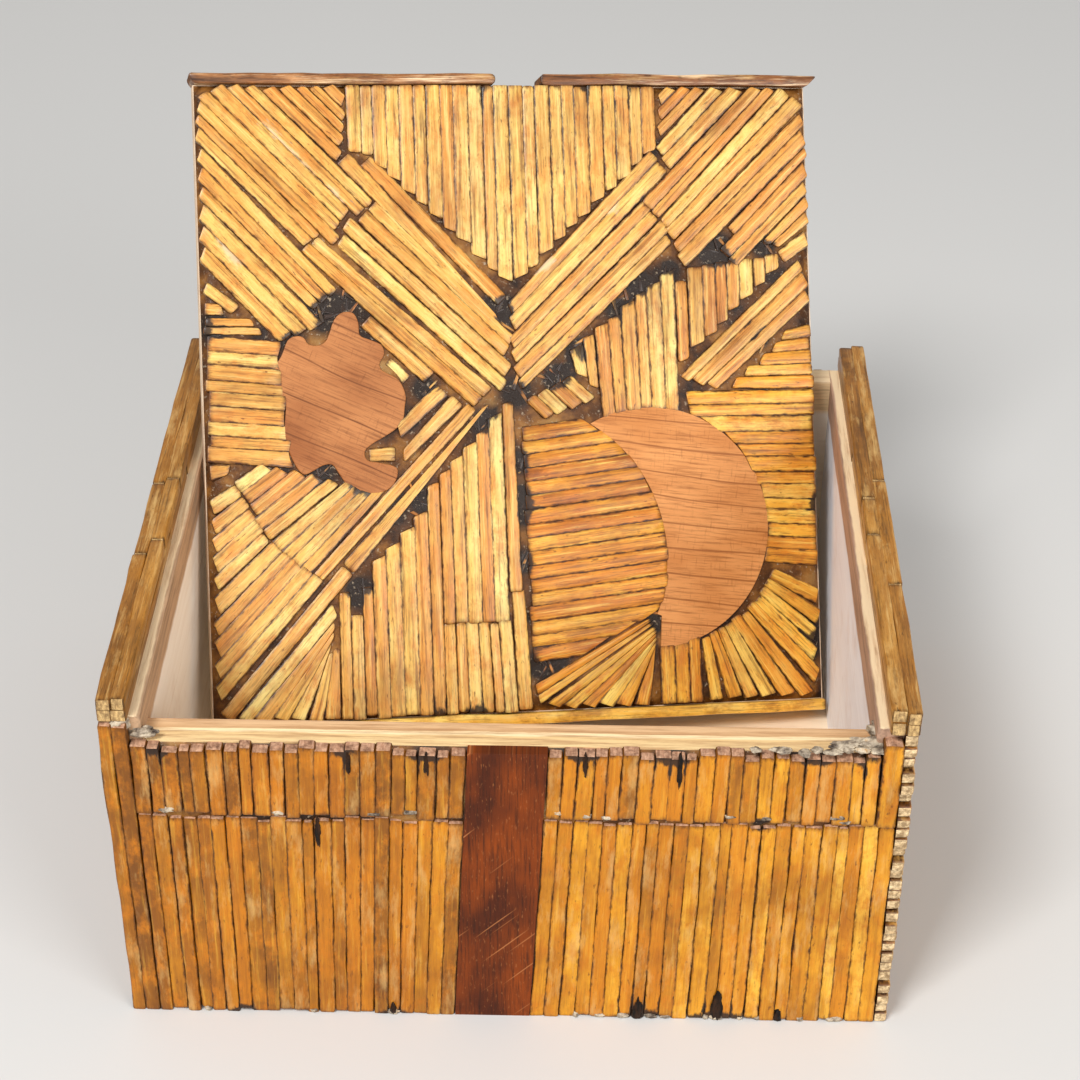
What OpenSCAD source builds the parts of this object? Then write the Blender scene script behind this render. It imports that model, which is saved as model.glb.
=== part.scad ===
// Ditty box covered with split matchsticks, its loose lid standing in it and leaning on the back wall.
// Millimetres. The origin is on the table, in the middle of the foot of the front board; the front faces -Y.

/* [Box boards] */
// Width of the box over its stick cladding
box_w = 130; // [120:1:150]
// Depth of the box over its stick cladding
box_d = 112; // [105:1:125]
// Height of the side and back boards
side_h = 64; // [58:0.5:72]
// How far the front board stops below the side boards
front_drop = 5; // [3:0.5:10]
// Thickness of the side and back boards
board_t = 4.3; // [3.5:0.1:5]
// Thickness of the plywood front board
front_t = 5.5; // [4:0.1:7]
// Thickness of the bottom board
bottom_t = 4.3; // [3:0.1:6]
// Height of the floor of the box above the table
floor_z = 13; // [9:0.5:15]

/* [Sticks] */
// Widest a stick is
stick_w = 2.5; // [2.2:0.1:2.8]
// Spacing at which sticks are laid
stick_pitch = 2.4; // [2.2:0.1:2.8]
// Thickness of the stick skin
stick_t = 2.3; // [1.8:0.1:2.8]
// Line of dark glue between two sticks
glue_gap = 0.22; // [0.1:0.02:0.3]
// Most by which an end falls short of its line
end_trim = 0.5; // [0:0.1:0.8]
// Most by which a stick is thinner than its neighbours
stick_wear = 0.3; // [0:0.05:0.5]

/* [Front] */
// Width of the veneer panel down the middle of the front
panel_w = 12.8; // [10:0.2:16]
// How far the foot of the panel leans to the left
panel_lean = 3; // [0:0.5:5]
// Length of the short upper row of front sticks
short_row = 14.2; // [10:0.2:20]
// Width of the wide piece at the right end of the short row
end_piece_w = 3.2; // [2.4:0.1:5]
// How far the two tall sticks at the left front corner stop below the rim
corner_drop = 0.5; // [0.3:0.1:3]

/* [Sides] */
// How far the joints of the side sticks lie before or behind the middle
side_joint = 14; // [0:1:30]

/* [Rim] */
// Sticks side by side in the rim on each side wall
rim_rows = 2; // [1:1:2]
// Sticks on top of each other in the rim
rim_layers = 2; // [1:1:3]
// Where the joint of the outer rim sticks lies, back from the middle
rim_joint = 18; // [-20:1:30]

/* [Lid] */
// How much narrower the lid board is than the inside of the box
lid_play = 1.8; // [1.4:0.1:6]
// How much longer the lid board is than the box is deep
lid_reach = 4; // [0:0.5:8]
// Thickness of the lid board
lid_t = 4.3; // [3.5:0.1:5]
// Thickness of the edge strips
strip_t = 2; // [1.5:0.1:3]
// Thickness of the veneer inlays in the lid
inlay_t = 2; // [1.5:0.1:2.5]
// Gap between an inlay and the sticks round it
inlay_gap = 0.3; // [0.2:0.05:0.5]

/* [Lid at rest] */
// Lean of the lid, up from the table
lean = 55; // [50:0.5:58]
// Turn of the lid, its right side farther back
turn = 15; // [10:0.5:16]
// Roll of the lid in its own plane, its left side higher
roll = -6; // [-7:0.5:-4]
// Clearance between the lid and what it rests on
rest_gap = 0.3; // [0.3:0.05:0.8]

/* [Hidden] */
$fn = 96;

front_h = side_h - front_drop;
joint_z = front_h - short_row;
corner_h = side_h - corner_drop;
front_y = -stick_t - front_t / 2;
back_y = front_y + box_d;
inner_w = box_w - 2 * (board_t + stick_t);
front_in = front_y + stick_t + front_t;
back_in = back_y - stick_t - board_t;
inner_d = back_in - front_in;
side_d = box_d - 2 * stick_t;
lid_w = inner_w - lid_play;
lid_h = box_d + lid_reach;
lid_thick = lid_t + stick_t;

// Turned corner of the lid: a direction of the lid's own frame as the box sees it.
function spin(v, a) = [v[0] * cos(a) - v[1] * sin(a), v[0] * sin(a) + v[1] * cos(a), v[2]];
function tip(v, a) = [v[0], v[1] * cos(a) - v[2] * sin(a), v[1] * sin(a) + v[2] * cos(a)];
function lid_dir(v) = spin(tip(spin(v, roll), lean), turn);
lid_x = lid_dir([1, 0, 0]);
lid_y = lid_dir([0, 1, 0]);
lid_n = lid_dir([0, 0, 1]);

// The lower right corner of the strip stands just over the floor, the left edge is beside the left
// board where it leaves the box, and the back face is in front of the back board's upper edge.
rest_z = floor_z + rest_gap + strip_t * lid_y[2];
edge_up = (side_h - rest_z + lid_w * lid_x[2]) / lid_y[2];
rest_x = -inner_w / 2 + rest_gap + lid_w * lid_x[0] - edge_up * lid_y[0];
touch_up = (side_h - rest_z) / lid_y[2];
touch_x = rest_x + touch_up * lid_y[0];
rest_y = back_in + (lid_n[0] * (touch_x - rest_x) + lid_n[2] * (side_h - rest_z) + rest_gap) / lid_n[1];

// Places on the lid's face are given in hundredths of its width and length.
function at(p) = [p[0] * lid_w / 100, p[1] * lid_h / 100];
function mix(p, q, t) = p + (q - p) * t;
function unit(v) = v / max(norm(v), 0.001);

// The crescent is the part of a disc that a second disc leaves.
moon_c = at([71.5, 28.8]);
moon_r = 19.6 * lid_w / 100;
bite_c = at([49, 24.5]);
bite_r = 25 * lid_w / 100;

// One stick between two points on each of two lines, never wider than a stick.
module stick(a, b, c, d, cut_a, cut_b, thick) {
    mid_a = (a + b) / 2;
    mid_b = (c + d) / 2;
    along = unit(mid_b - mid_a);
    across = [-along[1], along[0]];
    wide_a = min(abs((b - a) * across) - glue_gap, stick_w);
    wide_b = min(abs((d - c) * across) - glue_gap, stick_w);
    side = sign((b - a) * across + (d - c) * across);
    // Ends follow their line half way, as sticks snapped to length do.
    skew_a = (b - a) * along / 4;
    skew_b = (d - c) * along / 4;
    p = [
        mid_a - across * side * wide_a / 2 + along * (cut_a + abs(skew_a) - skew_a),
        mid_a + across * side * wide_a / 2 + along * (cut_a + abs(skew_a) + skew_a),
        mid_b + across * side * wide_b / 2 - along * (cut_b + abs(skew_b) - skew_b),
        mid_b - across * side * wide_b / 2 - along * (cut_b + abs(skew_b) + skew_b)
    ];
    linear_extrude(thick) {
        difference() {
            polygon(p);
            children();
        }
    }
}

// Sticks laid side by side from the line a0-a1 to the line b0-b1. Children are cut out of them.
module stick_run(a0, a1, b0, b1, count, seed) {
    slip = rands(-0.12, 0.12, count + 1, seed);
    cuts = rands(0, end_trim, 2 * count, seed + 40);
    wear = rands(0, stick_wear, count, seed + 80);
    for (i = [0:count - 1]) {
        t = (i + (i == 0 ? 0 : slip[i])) / count;
        u = (i + 1 + (i == count - 1 ? 0 : slip[i + 1])) / count;
        stick(mix(a0, a1, t), mix(a0, a1, u), mix(b0, b1, t), mix(b0, b1, u),
              cuts[2 * i], cuts[2 * i + 1], stick_t - wear[i]) children();
    }
}

// The same on the lid, with its places in hundredths of the face.
module lid_run(a0, a1, b0, b1, count, seed) {
    translate([0, 0, lid_t])
        stick_run(at(a0), at(a1), at(b0), at(b1), count, seed) children();
}

module moon_disc(gap) {
    translate(moon_c) circle(moon_r + gap);
}

// The leaf is a round body with lobes.
module leaf_shape(gap) {
    lobe([22.9, 61.6], 2.3, gap);
    lobe([15, 57], 3.3, gap);
    lobe([25.7, 57], 2.9, gap);
    lobe([22, 54.4], 6, gap);
    lobe([25.4, 50.2], 6.4, gap);
    lobe([19.6, 47.6], 7, gap);
    lobe([16.2, 42.4], 3.1, gap);
    lobe([26, 40.2], 4.6, gap);
}

module lobe(middle, r, gap) {
    translate(at(middle)) circle(r * lid_w / 100 + gap);
}

module placed_lid() {
    translate([rest_x, rest_y, rest_z])
        rotate([0, 0, turn])
            rotate([lean, 0, 0])
                rotate([0, 0, roll])
                    translate([-lid_w, 0, 0]) children();
}

module on_front() {
    translate([0, front_y + stick_t, 0]) rotate([90, 0, 0]) children();
}

module on_back() {
    translate([0, back_y - stick_t, 0]) rotate([90, 0, 180]) children();
}

module bottom_board() {
    color("wheat")
        translate([-inner_w / 2, front_in, floor_z - bottom_t]) cube([inner_w, inner_d, bottom_t]);
}

module front_board() {
    color("burlywood")
        translate([-inner_w / 2, front_in - front_t, 0]) cube([inner_w, front_t, front_h]);
}

module back_board() {
    color("tan")
        translate([-inner_w / 2, back_in, 0]) cube([inner_w, board_t, side_h]);
}

module side_board(side) {
    color("tan")
        translate([side * (inner_w + board_t) / 2 - board_t / 2, front_y + stick_t, 0])
            cube([board_t, side_d, side_h]);
}

module left_board() {
    side_board(-1);
}

module right_board() {
    side_board(1);
}

module front_panel() {
    color("saddlebrown")
        on_front() linear_extrude(inlay_t)
            polygon([
                [-panel_w / 2 - panel_lean, 0],
                [panel_w / 2 - panel_lean, 0],
                [panel_w / 2, front_h],
                [-panel_w / 2, front_h]
            ]);
}

// Edge of the panel at a height, and a run of front sticks between two heights.
function panel_edge(side, z) = side * (panel_w / 2 + glue_gap) - panel_lean * (1 - z / front_h);
corner_in = box_w / 2 - 2 * stick_pitch;
side_in = box_w / 2 - stick_t - glue_gap;

module front_row(z0, z1, right_end, seed) {
    left_w = panel_edge(-1, z1) + corner_in;
    right_w = right_end - panel_edge(1, z1);
    on_front() {
        stick_run([-corner_in, z1], [panel_edge(-1, z1), z1], [-corner_in, z0], [panel_edge(-1, z0), z0],
                  round(left_w / stick_pitch), seed);
        stick_run([panel_edge(1, z1), z1], [right_end, z1], [panel_edge(1, z0), z0], [right_end, z0],
                  round(right_w / stick_pitch), seed + 7);
    }
}

module front_short_sticks() {
    color("goldenrod") front_row(joint_z + glue_gap, front_h, side_in - end_piece_w, 11);
}

module front_long_sticks() {
    color("goldenrod") front_row(0, joint_z - glue_gap, side_in, 23);
}

module front_end_piece() {
    color("peru")
        on_front() translate([side_in - end_piece_w + glue_gap, joint_z + glue_gap, 0])
            cube([end_piece_w - glue_gap, (front_h + side_h) / 2 - joint_z, stick_t]);
}

module front_corner_sticks() {
    color("darkgoldenrod")
        on_front() stick_run([-box_w / 2, corner_h], [-corner_in - glue_gap, corner_h],
                             [-box_w / 2, 0], [-corner_in - glue_gap, 0], 2, 31);
}

// Side sticks lie along the wall in two lengths, with the joints staggered from course to course.
module side_cladding(side, front_end, seed) {
    count = round(side_h / stick_pitch);
    rise = side_h / count;
    shift = rands(-9, 9, count, seed);
    trim = rands(0, end_trim, 2 * count, seed + 40);
    wear = rands(0, stick_wear, count, seed + 80);
    for (i = [0:count - 1]) {
        joint = (front_y + back_y) / 2 + (i % 2 == 0 ? -1 : 1) * side_joint + shift[i];
        wide = stick_t - wear[i];
        x = side > 0 ? box_w / 2 - stick_t : -box_w / 2 + stick_t - wide;
        y0 = front_end + trim[2 * i];
        y1 = back_y - trim[2 * i + 1];
        translate([x, y0, i * rise]) cube([wide, joint - y0, rise - glue_gap]);
        translate([x, joint + glue_gap, i * rise]) cube([wide, y1 - joint - glue_gap, rise - glue_gap]);
    }
}

module left_sticks() {
    color("darkgoldenrod") side_cladding(-1, front_y + stick_t + glue_gap, 41);
}

module right_sticks() {
    color("darkgoldenrod") side_cladding(1, front_y, 53);
}

module back_sticks() {
    count = round(2 * side_in / stick_pitch);
    color("goldenrod") on_back() {
        stick_run([-side_in, side_h], [side_in, side_h],
                  [-side_in, joint_z + glue_gap], [side_in, joint_z + glue_gap], count, 61);
        stick_run([-side_in, joint_z - glue_gap], [side_in, joint_z - glue_gap],
                  [-side_in, 0], [side_in, 0], count, 67);
    }
}

// The rim is a bundle of sticks on the cladding and the outer part of the side board.
module rim(side, seed) {
    slip = rands(-7, 7, rim_rows * rim_layers, seed);
    trim = rands(0, end_trim, 2 * rim_rows * rim_layers, seed + 40);
    for (row = [0:rim_rows - 1]) {
        for (layer = [0:rim_layers - 1]) {
            i = row * rim_layers + layer;
            joint = (front_y + back_y) / 2 + (row == 0 ? rim_joint : -rim_joint / 2) + slip[i];
            x = side * (box_w / 2 - (row + 0.5) * stick_pitch) - (stick_pitch - glue_gap) / 2;
            z = side_h + layer * stick_t;
            y0 = front_y + trim[2 * i];
            y1 = back_y - trim[2 * i + 1];
            translate([x, y0, z]) cube([stick_pitch - glue_gap, joint - y0, stick_t]);
            translate([x, joint + glue_gap, z]) cube([stick_pitch - glue_gap, y1 - joint - glue_gap, stick_t]);
        }
    }
}

module left_rim() {
    color("olive") rim(-1, 71);
}

module right_rim() {
    color("olive") rim(1, 79);
}

module lid_board() {
    color("tan") placed_lid() cube([lid_w, lid_h, lid_t]);
}

// Edge strips have one mitred end, left from an edging that ran all round the lid.
module lid_top_strip_left() {
    color("sienna") placed_lid() linear_extrude(lid_thick)
        polygon([[0, lid_h], at([48.2, 100]), at([48.2, 100]) + [0, strip_t], [-strip_t / 2, lid_h + strip_t]]);
}

module lid_top_strip_right() {
    color("sienna") placed_lid() linear_extrude(lid_thick)
        polygon([at([55.6, 100]), [lid_w, lid_h], [lid_w + strip_t, lid_h + strip_t],
                 at([55.6, 100]) + [0, strip_t]]);
}

module lid_bottom_strip() {
    color("goldenrod") placed_lid() translate([glue_gap, -strip_t, 0])
        cube([lid_w - glue_gap, strip_t, lid_thick - glue_gap]);
}

module lid_crescent() {
    color("chocolate") placed_lid() translate([0, 0, lid_t]) linear_extrude(inlay_t)
        difference() {
            moon_disc(0);
            translate(bite_c) circle(bite_r);
            // The lower horn is blunt.
            polygon([at([60, 5]), at([72.2, 5]), at([72.8, 14.6]), at([60, 20])]);
        }
}

module lid_leaf() {
    // A short stick is let into the lowest lobe.
    color("chocolate") placed_lid() translate([0, 0, lid_t]) linear_extrude(inlay_t)
        difference() {
            leaf_shape(0);
            polygon([at([25.4, 43.1]), at([25.5, 40.2]), at([31, 40.2]), at([31, 43.2])]);
        }
}

module lid_top_sticks() {
    color("gold") placed_lid() {
        lid_run([23.8, 99.6], [28.1, 99.6], [24, 89.6], [28.1, 88.8], 2, 101);
        lid_run([28.1, 99.6], [50, 99.6], [28.1, 88], [49.9, 67.6], 10, 102);
        lid_run([50.1, 99.6], [74.2, 99.6], [50.1, 68.2], [74.3, 90.2], 11, 103);
    }
}

module lid_upper_left_band() {
    color("gold") placed_lid() {
        lid_run([28, 88.4], [26.2, 86.9], [48.9, 66.3], [47.3, 64.9], 1, 111);
        lid_run([24.4, 88.8], [22.5, 87.3], [46.6, 63.9], [48.3, 61.2], 1, 112);
        lid_run([28.3, 81.4], [25.6, 78.1], [49.4, 60.4], [48.4, 56.4], 2, 113);
        lid_run([24.2, 79.2], [21.9, 74.4], [49.3, 55.6], [47.2, 51.2], 2, 114);
        lid_run([19.1, 75.8], [16.5, 73.4], [45.9, 51.9], [42.6, 49], 2, 115);
    }
}

module lid_upper_left_corner() {
    color("gold") placed_lid() {
        lid_run([22.6, 99.5], [15.7, 99.5], [23.4, 98.7], [23.4, 91.8], 3, 121);
        lid_run([15.7, 99.5], [10, 99.5], [23.4, 91.8], [21.8, 88.1], 2, 122);
        lid_run([10, 99.5], [5, 99.5], [27.6, 81.9], [25, 79.3], 2, 123);
        lid_run([5, 99.5], [0.5, 98], [23.6, 80.6], [21.5, 76.8], 2, 124);
        lid_run([0.5, 98], [0.5, 95.6], [21.9, 76.5], [20.6, 75.1], 1, 125);
        lid_run([0.5, 95.6], [0.5, 90.8], [19.2, 76.6], [16.1, 75], 2, 126);
        lid_run([0.5, 90.6], [0.5, 82], [21.1, 68.2], [17.6, 64.6], 3, 127) leaf_shape(inlay_gap);
        lid_run([0.5, 82], [0.5, 72], [19.2, 62.6], [12, 59.8], 3, 128) leaf_shape(inlay_gap);
    }
}

module lid_upper_right_band() {
    color("gold") placed_lid() {
        lid_run([49.4, 65.6], [49.6, 60.5], [72.8, 89.1], [76, 86.1], 2, 131);
        lid_run([49.6, 60.3], [49.9, 55.5], [71.3, 81], [74.2, 78.2], 2, 132);
        lid_run([49.9, 55.3], [51, 51.4], [74.6, 78.2], [76.3, 74.4], 2, 133);
    }
}

module lid_upper_right_corner() {
    color("gold") placed_lid() {
        lid_run([75.4, 98.9], [74.8, 91.4], [76, 99.5], [83.2, 99.5], 3, 141);
        lid_run([74.6, 90.4], [76.7, 86.6], [83.4, 99.5], [89.9, 99.5], 2, 142);
        lid_run([71.8, 81.5], [74.7, 78.8], [90.1, 99.5], [95, 99.5], 2, 143);
        lid_run([75, 78.7], [76.7, 74.9], [95.2, 99.5], [99.4, 96.5], 2, 144);
        lid_run([76.7, 74.5], [78.4, 70.6], [99.4, 96.2], [99.4, 90.3], 2, 145);
        lid_run([86.2, 77.4], [87.2, 76], [99.4, 90.1], [99.4, 88.2], 1, 146);
        lid_run([84.6, 73.6], [87.6, 71.2], [99.4, 88], [99.4, 82.4], 2, 147);
        lid_run([91.4, 74.4], [94.6, 73.8], [99.4, 82.2], [99.4, 77.4], 2, 148);
        lid_run([94.9, 73.4], [95.8, 71.6], [99.4, 76.8], [99.4, 73.7], 1, 149);
    }
}

module lid_right_uprights() {
    color("gold") placed_lid() {
        lid_run([58.8, 57.4], [62.9, 60.6], [59.9, 54.2], [63.5, 51], 2, 151);
        lid_run([63.2, 60.8], [76.5, 70.8], [64.2, 46], [76.7, 46], 6, 152) moon_disc(inlay_gap);
        lid_run([76.8, 68.2], [78.7, 68.2], [77, 54.6], [78.8, 56.2], 1, 153);
        lid_run([78.9, 70.3], [94.4, 72.6], [79, 56.4], [94.4, 70.4], 7, 154);
    }
}

module lid_right_diagonals() {
    color("gold") placed_lid() {
        lid_run([77, 53], [83.2, 50.9], [98, 72], [99.4, 64.8], 3, 161);
    }
}

module lid_right_sticks() {
    color("gold") placed_lid() {
        lid_run([99.4, 61.2], [99.4, 50.8], [95.4, 60.2], [84.8, 51], 5, 171);
        lid_run([99.4, 50.6], [99.4, 21.9], [77.5, 50.6], [88, 23], 13, 172) moon_disc(inlay_gap);
    }
}

module lid_right_fan() {
    color("gold") placed_lid() {
        lid_run([79.3, 10.6], [87.4, 14.8], [80, 0.6], [98.5, 1], 6, 181) moon_disc(inlay_gap);
        lid_run([87.4, 15], [92.2, 21.4], [98.9, 1.8], [99.4, 18.6], 5, 182) moon_disc(inlay_gap);
    }
}

module lid_crescent_sticks() {
    // Sticks inside the crescent's hollow end on the second disc and above the small fan.
    color("gold") placed_lid()
        lid_run([50.8, 45.4], [51.6, 8], [75, 48.2], [75, 10.4], 17, 191) {
            difference() {
                translate(at([75, 30])) square([lid_w / 2, lid_h], center = true);
                translate(bite_c) circle(bite_r - inlay_gap);
            }
            polygon([at([50, 0]), at([50, 4.4]), at([73, 16.2]), at([80, 0])]);
        }
}

module lid_small_fan() {
    color("gold") placed_lid() {
        lid_run([71.2, 14.6], [71.2, 13.2], [51.9, 4.7], [51.9, 1.1], 2, 201);
        lid_run([71.4, 13], [71.6, 9.2], [52.4, 0.7], [70.6, 0.6], 6, 202);
    }
}

module lid_short_uprights() {
    color("gold") placed_lid()
        lid_run([72.4, 11], [79, 11], [72.4, 0.6], [79.2, 0.6], 3, 211) moon_disc(inlay_gap);
}

module lid_centre_sticks() {
    color("gold") placed_lid()
        lid_run([59.2, 53.4], [51.2, 49.9], [63.1, 49.8], [54.2, 46.8], 4, 221) moon_disc(inlay_gap);
}

module lid_bottom_uprights() {
    color("gold") placed_lid() {
        lid_run([15, 0.6], [20.1, 0.6], [18.4, 10.4], [20.1, 11], 2, 231);
        lid_run([20.3, 0.6], [22.1, 0.6], [20.4, 20.2], [22.1, 20.2], 1, 232);
        lid_run([22.1, 0.6], [24.1, 0.6], [22.1, 16.6], [24.1, 16.4], 1, 233);
        lid_run([24.1, 0.6], [26, 0.6], [24.1, 20.4], [25.8, 20.6], 1, 234);
        lid_run([26, 0.6], [34.9, 0.6], [25.8, 24.6], [34.9, 33.4], 4, 235);
        lid_run([35, 0.6], [37, 0.6], [35, 36.2], [37, 37.8], 1, 236);
        lid_run([37, 0.6], [48.6, 0.6], [37, 14.4], [47.9, 14.3], 6, 237);
        lid_run([37, 14.9], [47.6, 14.8], [37, 37.8], [47.4, 48.6], 5, 238);
        lid_run([47.8, 19.8], [49.9, 19.8], [47.6, 48.8], [49.3, 49.4], 1, 239);
        lid_run([48.8, 0.6], [51, 0.6], [48.2, 19.3], [50.3, 19.3], 1, 240);
    }
}

module lid_lower_left_band() {
    color("gold") placed_lid() {
        lid_run([16.3, 23.2], [18.1, 22.3], [41.7, 49.3], [43.3, 48.2], 1, 241) leaf_shape(inlay_gap);
        lid_run([21.5, 25.1], [23.1, 23.4], [43.6, 47.9], [46, 49.7], 1, 242);
    }
}

module lid_lower_left_inner() {
    color("gold") placed_lid() {
        lid_run([4.6, 38], [10, 28.8], [8.4, 40.5], [21.6, 37.6], 5, 251) leaf_shape(inlay_gap);
        lid_run([10.2, 28.6], [16, 23.3], [21.8, 37.4], [29.2, 37], 4, 252) leaf_shape(inlay_gap);
    }
}

module lid_lower_left_outer() {
    color("gold") placed_lid() {
        lid_run([0.8, 35.5], [0.8, 20.5], [4.2, 37.4], [9.6, 28.4], 5, 261);
        lid_run([0.8, 20.3], [0.8, 3.2], [9.8, 28.2], [17.8, 22], 5, 262);
        lid_run([1.2, 2.4], [3.4, 1], [21.1, 24.6], [22.7, 22.9], 1, 263);
        lid_run([3.6, 0.9], [6, 0.7], [19.9, 19.2], [19.9, 16.4], 1, 264);
        lid_run([6.1, 0.7], [14.6, 0.6], [19.9, 16.2], [18.6, 11], 3, 265);
    }
}

module lid_left_sticks() {
    color("gold") placed_lid() {
        lid_run([0.9, 69.4], [0.8, 67.2], [6.6, 65], [4.9, 63.9], 1, 271);
        lid_run([0.8, 65.9], [0.8, 64], [3, 65.6], [4.2, 63.8], 1, 272);
        lid_run([0.8, 63.7], [0.8, 60.9], [7.6, 63.4], [10.2, 60.7], 2, 273);
        lid_run([0.8, 60.7], [0.8, 41.2], [12.2, 59.6], [13.8, 40], 9, 274) leaf_shape(inlay_gap);
        lid_run([0.6, 40.8], [0.6, 37.9], [4.8, 40.8], [3.6, 39.2], 1, 275);
    }
}

module lid_leaf_sticks() {
    color("gold") placed_lid() {
        lid_run([26.6, 63.6], [25.1, 62.1], [36.9, 54.2], [35.1, 52.8], 1, 281) leaf_shape(inlay_gap);
        lid_run([29.6, 57], [28.1, 55.4], [32.9, 53.9], [31.4, 52.4], 1, 282) leaf_shape(inlay_gap);
        lid_run([30.4, 46.2], [30.1, 43.6], [36.8, 52.6], [38.9, 50.9], 1, 283) leaf_shape(inlay_gap);
        lid_run([31.2, 42.2], [30.2, 39.2], [39.4, 51], [41.5, 49.2], 1, 284) leaf_shape(inlay_gap);
        lid_run([25.8, 42.7], [25.9, 40.6], [30.4, 42.8], [30.2, 40.6], 1, 285);
    }
}

bottom_board();
front_board();
back_board();
left_board();
right_board();
front_panel();
front_short_sticks();
front_long_sticks();
front_end_piece();
front_corner_sticks();
left_sticks();
right_sticks();
back_sticks();
left_rim();
right_rim();
lid_board();
lid_top_strip_left();
lid_top_strip_right();
lid_bottom_strip();
lid_crescent();
lid_leaf();
lid_top_sticks();
lid_upper_left_band();
lid_upper_left_corner();
lid_upper_right_band();
lid_upper_right_corner();
lid_right_uprights();
lid_right_diagonals();
lid_right_sticks();
lid_right_fan();
lid_crescent_sticks();
lid_small_fan();
lid_short_uprights();
lid_centre_sticks();
lid_bottom_uprights();
lid_lower_left_band();
lid_lower_left_inner();
lid_lower_left_outer();
lid_left_sticks();
lid_leaf_sticks();
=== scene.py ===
# %% [markdown]
# A ditty box covered with split matchsticks. Its loose lid stands in the box and leans on the back
# wall, with its mosaic to the viewer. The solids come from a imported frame, which is loaded first
# and never moved. This script gives them the grain, varnish, glue and wear of the real box.

# %% Load the frame
import math
import random
from collections import namedtuple

import bmesh
import bpy
from mathutils import Matrix, Vector, noise


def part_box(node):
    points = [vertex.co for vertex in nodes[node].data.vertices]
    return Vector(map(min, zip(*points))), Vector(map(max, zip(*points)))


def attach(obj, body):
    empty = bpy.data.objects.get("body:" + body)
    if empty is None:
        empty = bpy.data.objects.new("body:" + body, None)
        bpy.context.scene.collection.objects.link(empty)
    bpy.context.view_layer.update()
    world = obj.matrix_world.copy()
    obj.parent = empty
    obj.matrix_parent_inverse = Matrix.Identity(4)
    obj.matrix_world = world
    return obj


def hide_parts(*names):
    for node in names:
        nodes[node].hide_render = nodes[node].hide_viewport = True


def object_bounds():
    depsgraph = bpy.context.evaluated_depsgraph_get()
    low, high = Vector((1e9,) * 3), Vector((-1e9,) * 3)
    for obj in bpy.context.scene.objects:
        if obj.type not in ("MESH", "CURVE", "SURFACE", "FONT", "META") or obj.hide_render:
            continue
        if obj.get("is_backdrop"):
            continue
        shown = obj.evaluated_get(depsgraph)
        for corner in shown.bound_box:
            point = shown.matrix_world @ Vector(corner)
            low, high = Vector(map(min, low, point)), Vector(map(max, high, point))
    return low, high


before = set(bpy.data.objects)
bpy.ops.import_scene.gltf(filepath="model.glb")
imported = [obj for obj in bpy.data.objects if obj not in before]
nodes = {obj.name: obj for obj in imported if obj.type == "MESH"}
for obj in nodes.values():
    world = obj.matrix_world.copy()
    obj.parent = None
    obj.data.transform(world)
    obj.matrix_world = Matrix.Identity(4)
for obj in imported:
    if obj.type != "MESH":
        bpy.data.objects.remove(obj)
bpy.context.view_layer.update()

MM = 0.001
ACROSS, DEEP, TALL = Vector((1, 0, 0)), Vector((0, 1, 0)), Vector((0, 0, 1))
FRONT, BACK = Vector((0, -1, 0)), Vector((0, 1, 0))
LEFT, RIGHT = Vector((-1, 0, 0)), Vector((1, 0, 0))

# %% [markdown]
# The camera comes first, because every comparison with the photograph hangs on it. Its place was
# worked out from the box's own corners: it stands a third of a metre in front of the box and looks
# down at 35 degrees. A long lens gives the gentle narrowing towards the back.

# %% The camera
CAMERA_AT = Vector((11.6, -303.4, 313.4)) * MM
CAMERA_DOWN = math.radians(35.45)
CAMERA_TURN = math.radians(1.25)
CAMERA_ROLL = math.radians(0.11)

camera_data = bpy.data.cameras.new("camera")
camera_data.sensor_width = 36.0
camera_data.lens = 82.2
camera_data.clip_start = 0.01
camera = bpy.data.objects.new("camera", camera_data)
bpy.context.scene.collection.objects.link(camera)
look = Matrix.Rotation(CAMERA_TURN, 4, "Z") @ Matrix.Rotation(math.pi / 2 - CAMERA_DOWN, 4, "X")
camera.matrix_world = Matrix.Translation(CAMERA_AT) @ look @ Matrix.Rotation(CAMERA_ROLL, 4, "Z")
bpy.context.scene.camera = camera

# %% [markdown]
# The light is a plain studio: a soft lamp above and to the left, where the window was, a larger
# and weaker one from the right, and a pale world that fills the shadows. Their levels are low
# enough for a colour to come out about as it is written.

# %% Lamps, world and floor
MIDDLE = Vector((0, 50, 50)) * MM
WORLD_GREY, WORLD_LEVEL = 0.95, 0.5
FLOOR_HALF = 3.0


def soft_lamp(name, place, size, power):
    """A square area lamp that looks at the middle of the box."""
    data = bpy.data.lights.new(name, "AREA")
    data.shape = "SQUARE"
    data.size = size
    data.energy = power
    lamp = bpy.data.objects.new(name, data)
    lamp.location = place
    lamp.rotation_euler = (MIDDLE - Vector(place)).to_track_quat("-Z", "Y").to_euler()
    bpy.context.scene.collection.objects.link(lamp)


soft_lamp("window_lamp", (-0.32, -0.5, 0.88), 0.3, 8.2)
soft_lamp("fill_lamp", (0.7, -0.75, 0.5), 0.6, 6.5)

world = bpy.data.worlds.new("studio")
world.use_nodes = True
background = world.node_tree.nodes["Background"]
background.inputs["Color"].default_value = (WORLD_GREY, WORLD_GREY, WORLD_GREY, 1)
background.inputs["Strength"].default_value = WORLD_LEVEL
bpy.context.scene.world = world
bpy.context.scene.view_settings.view_transform = "Standard"

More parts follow.
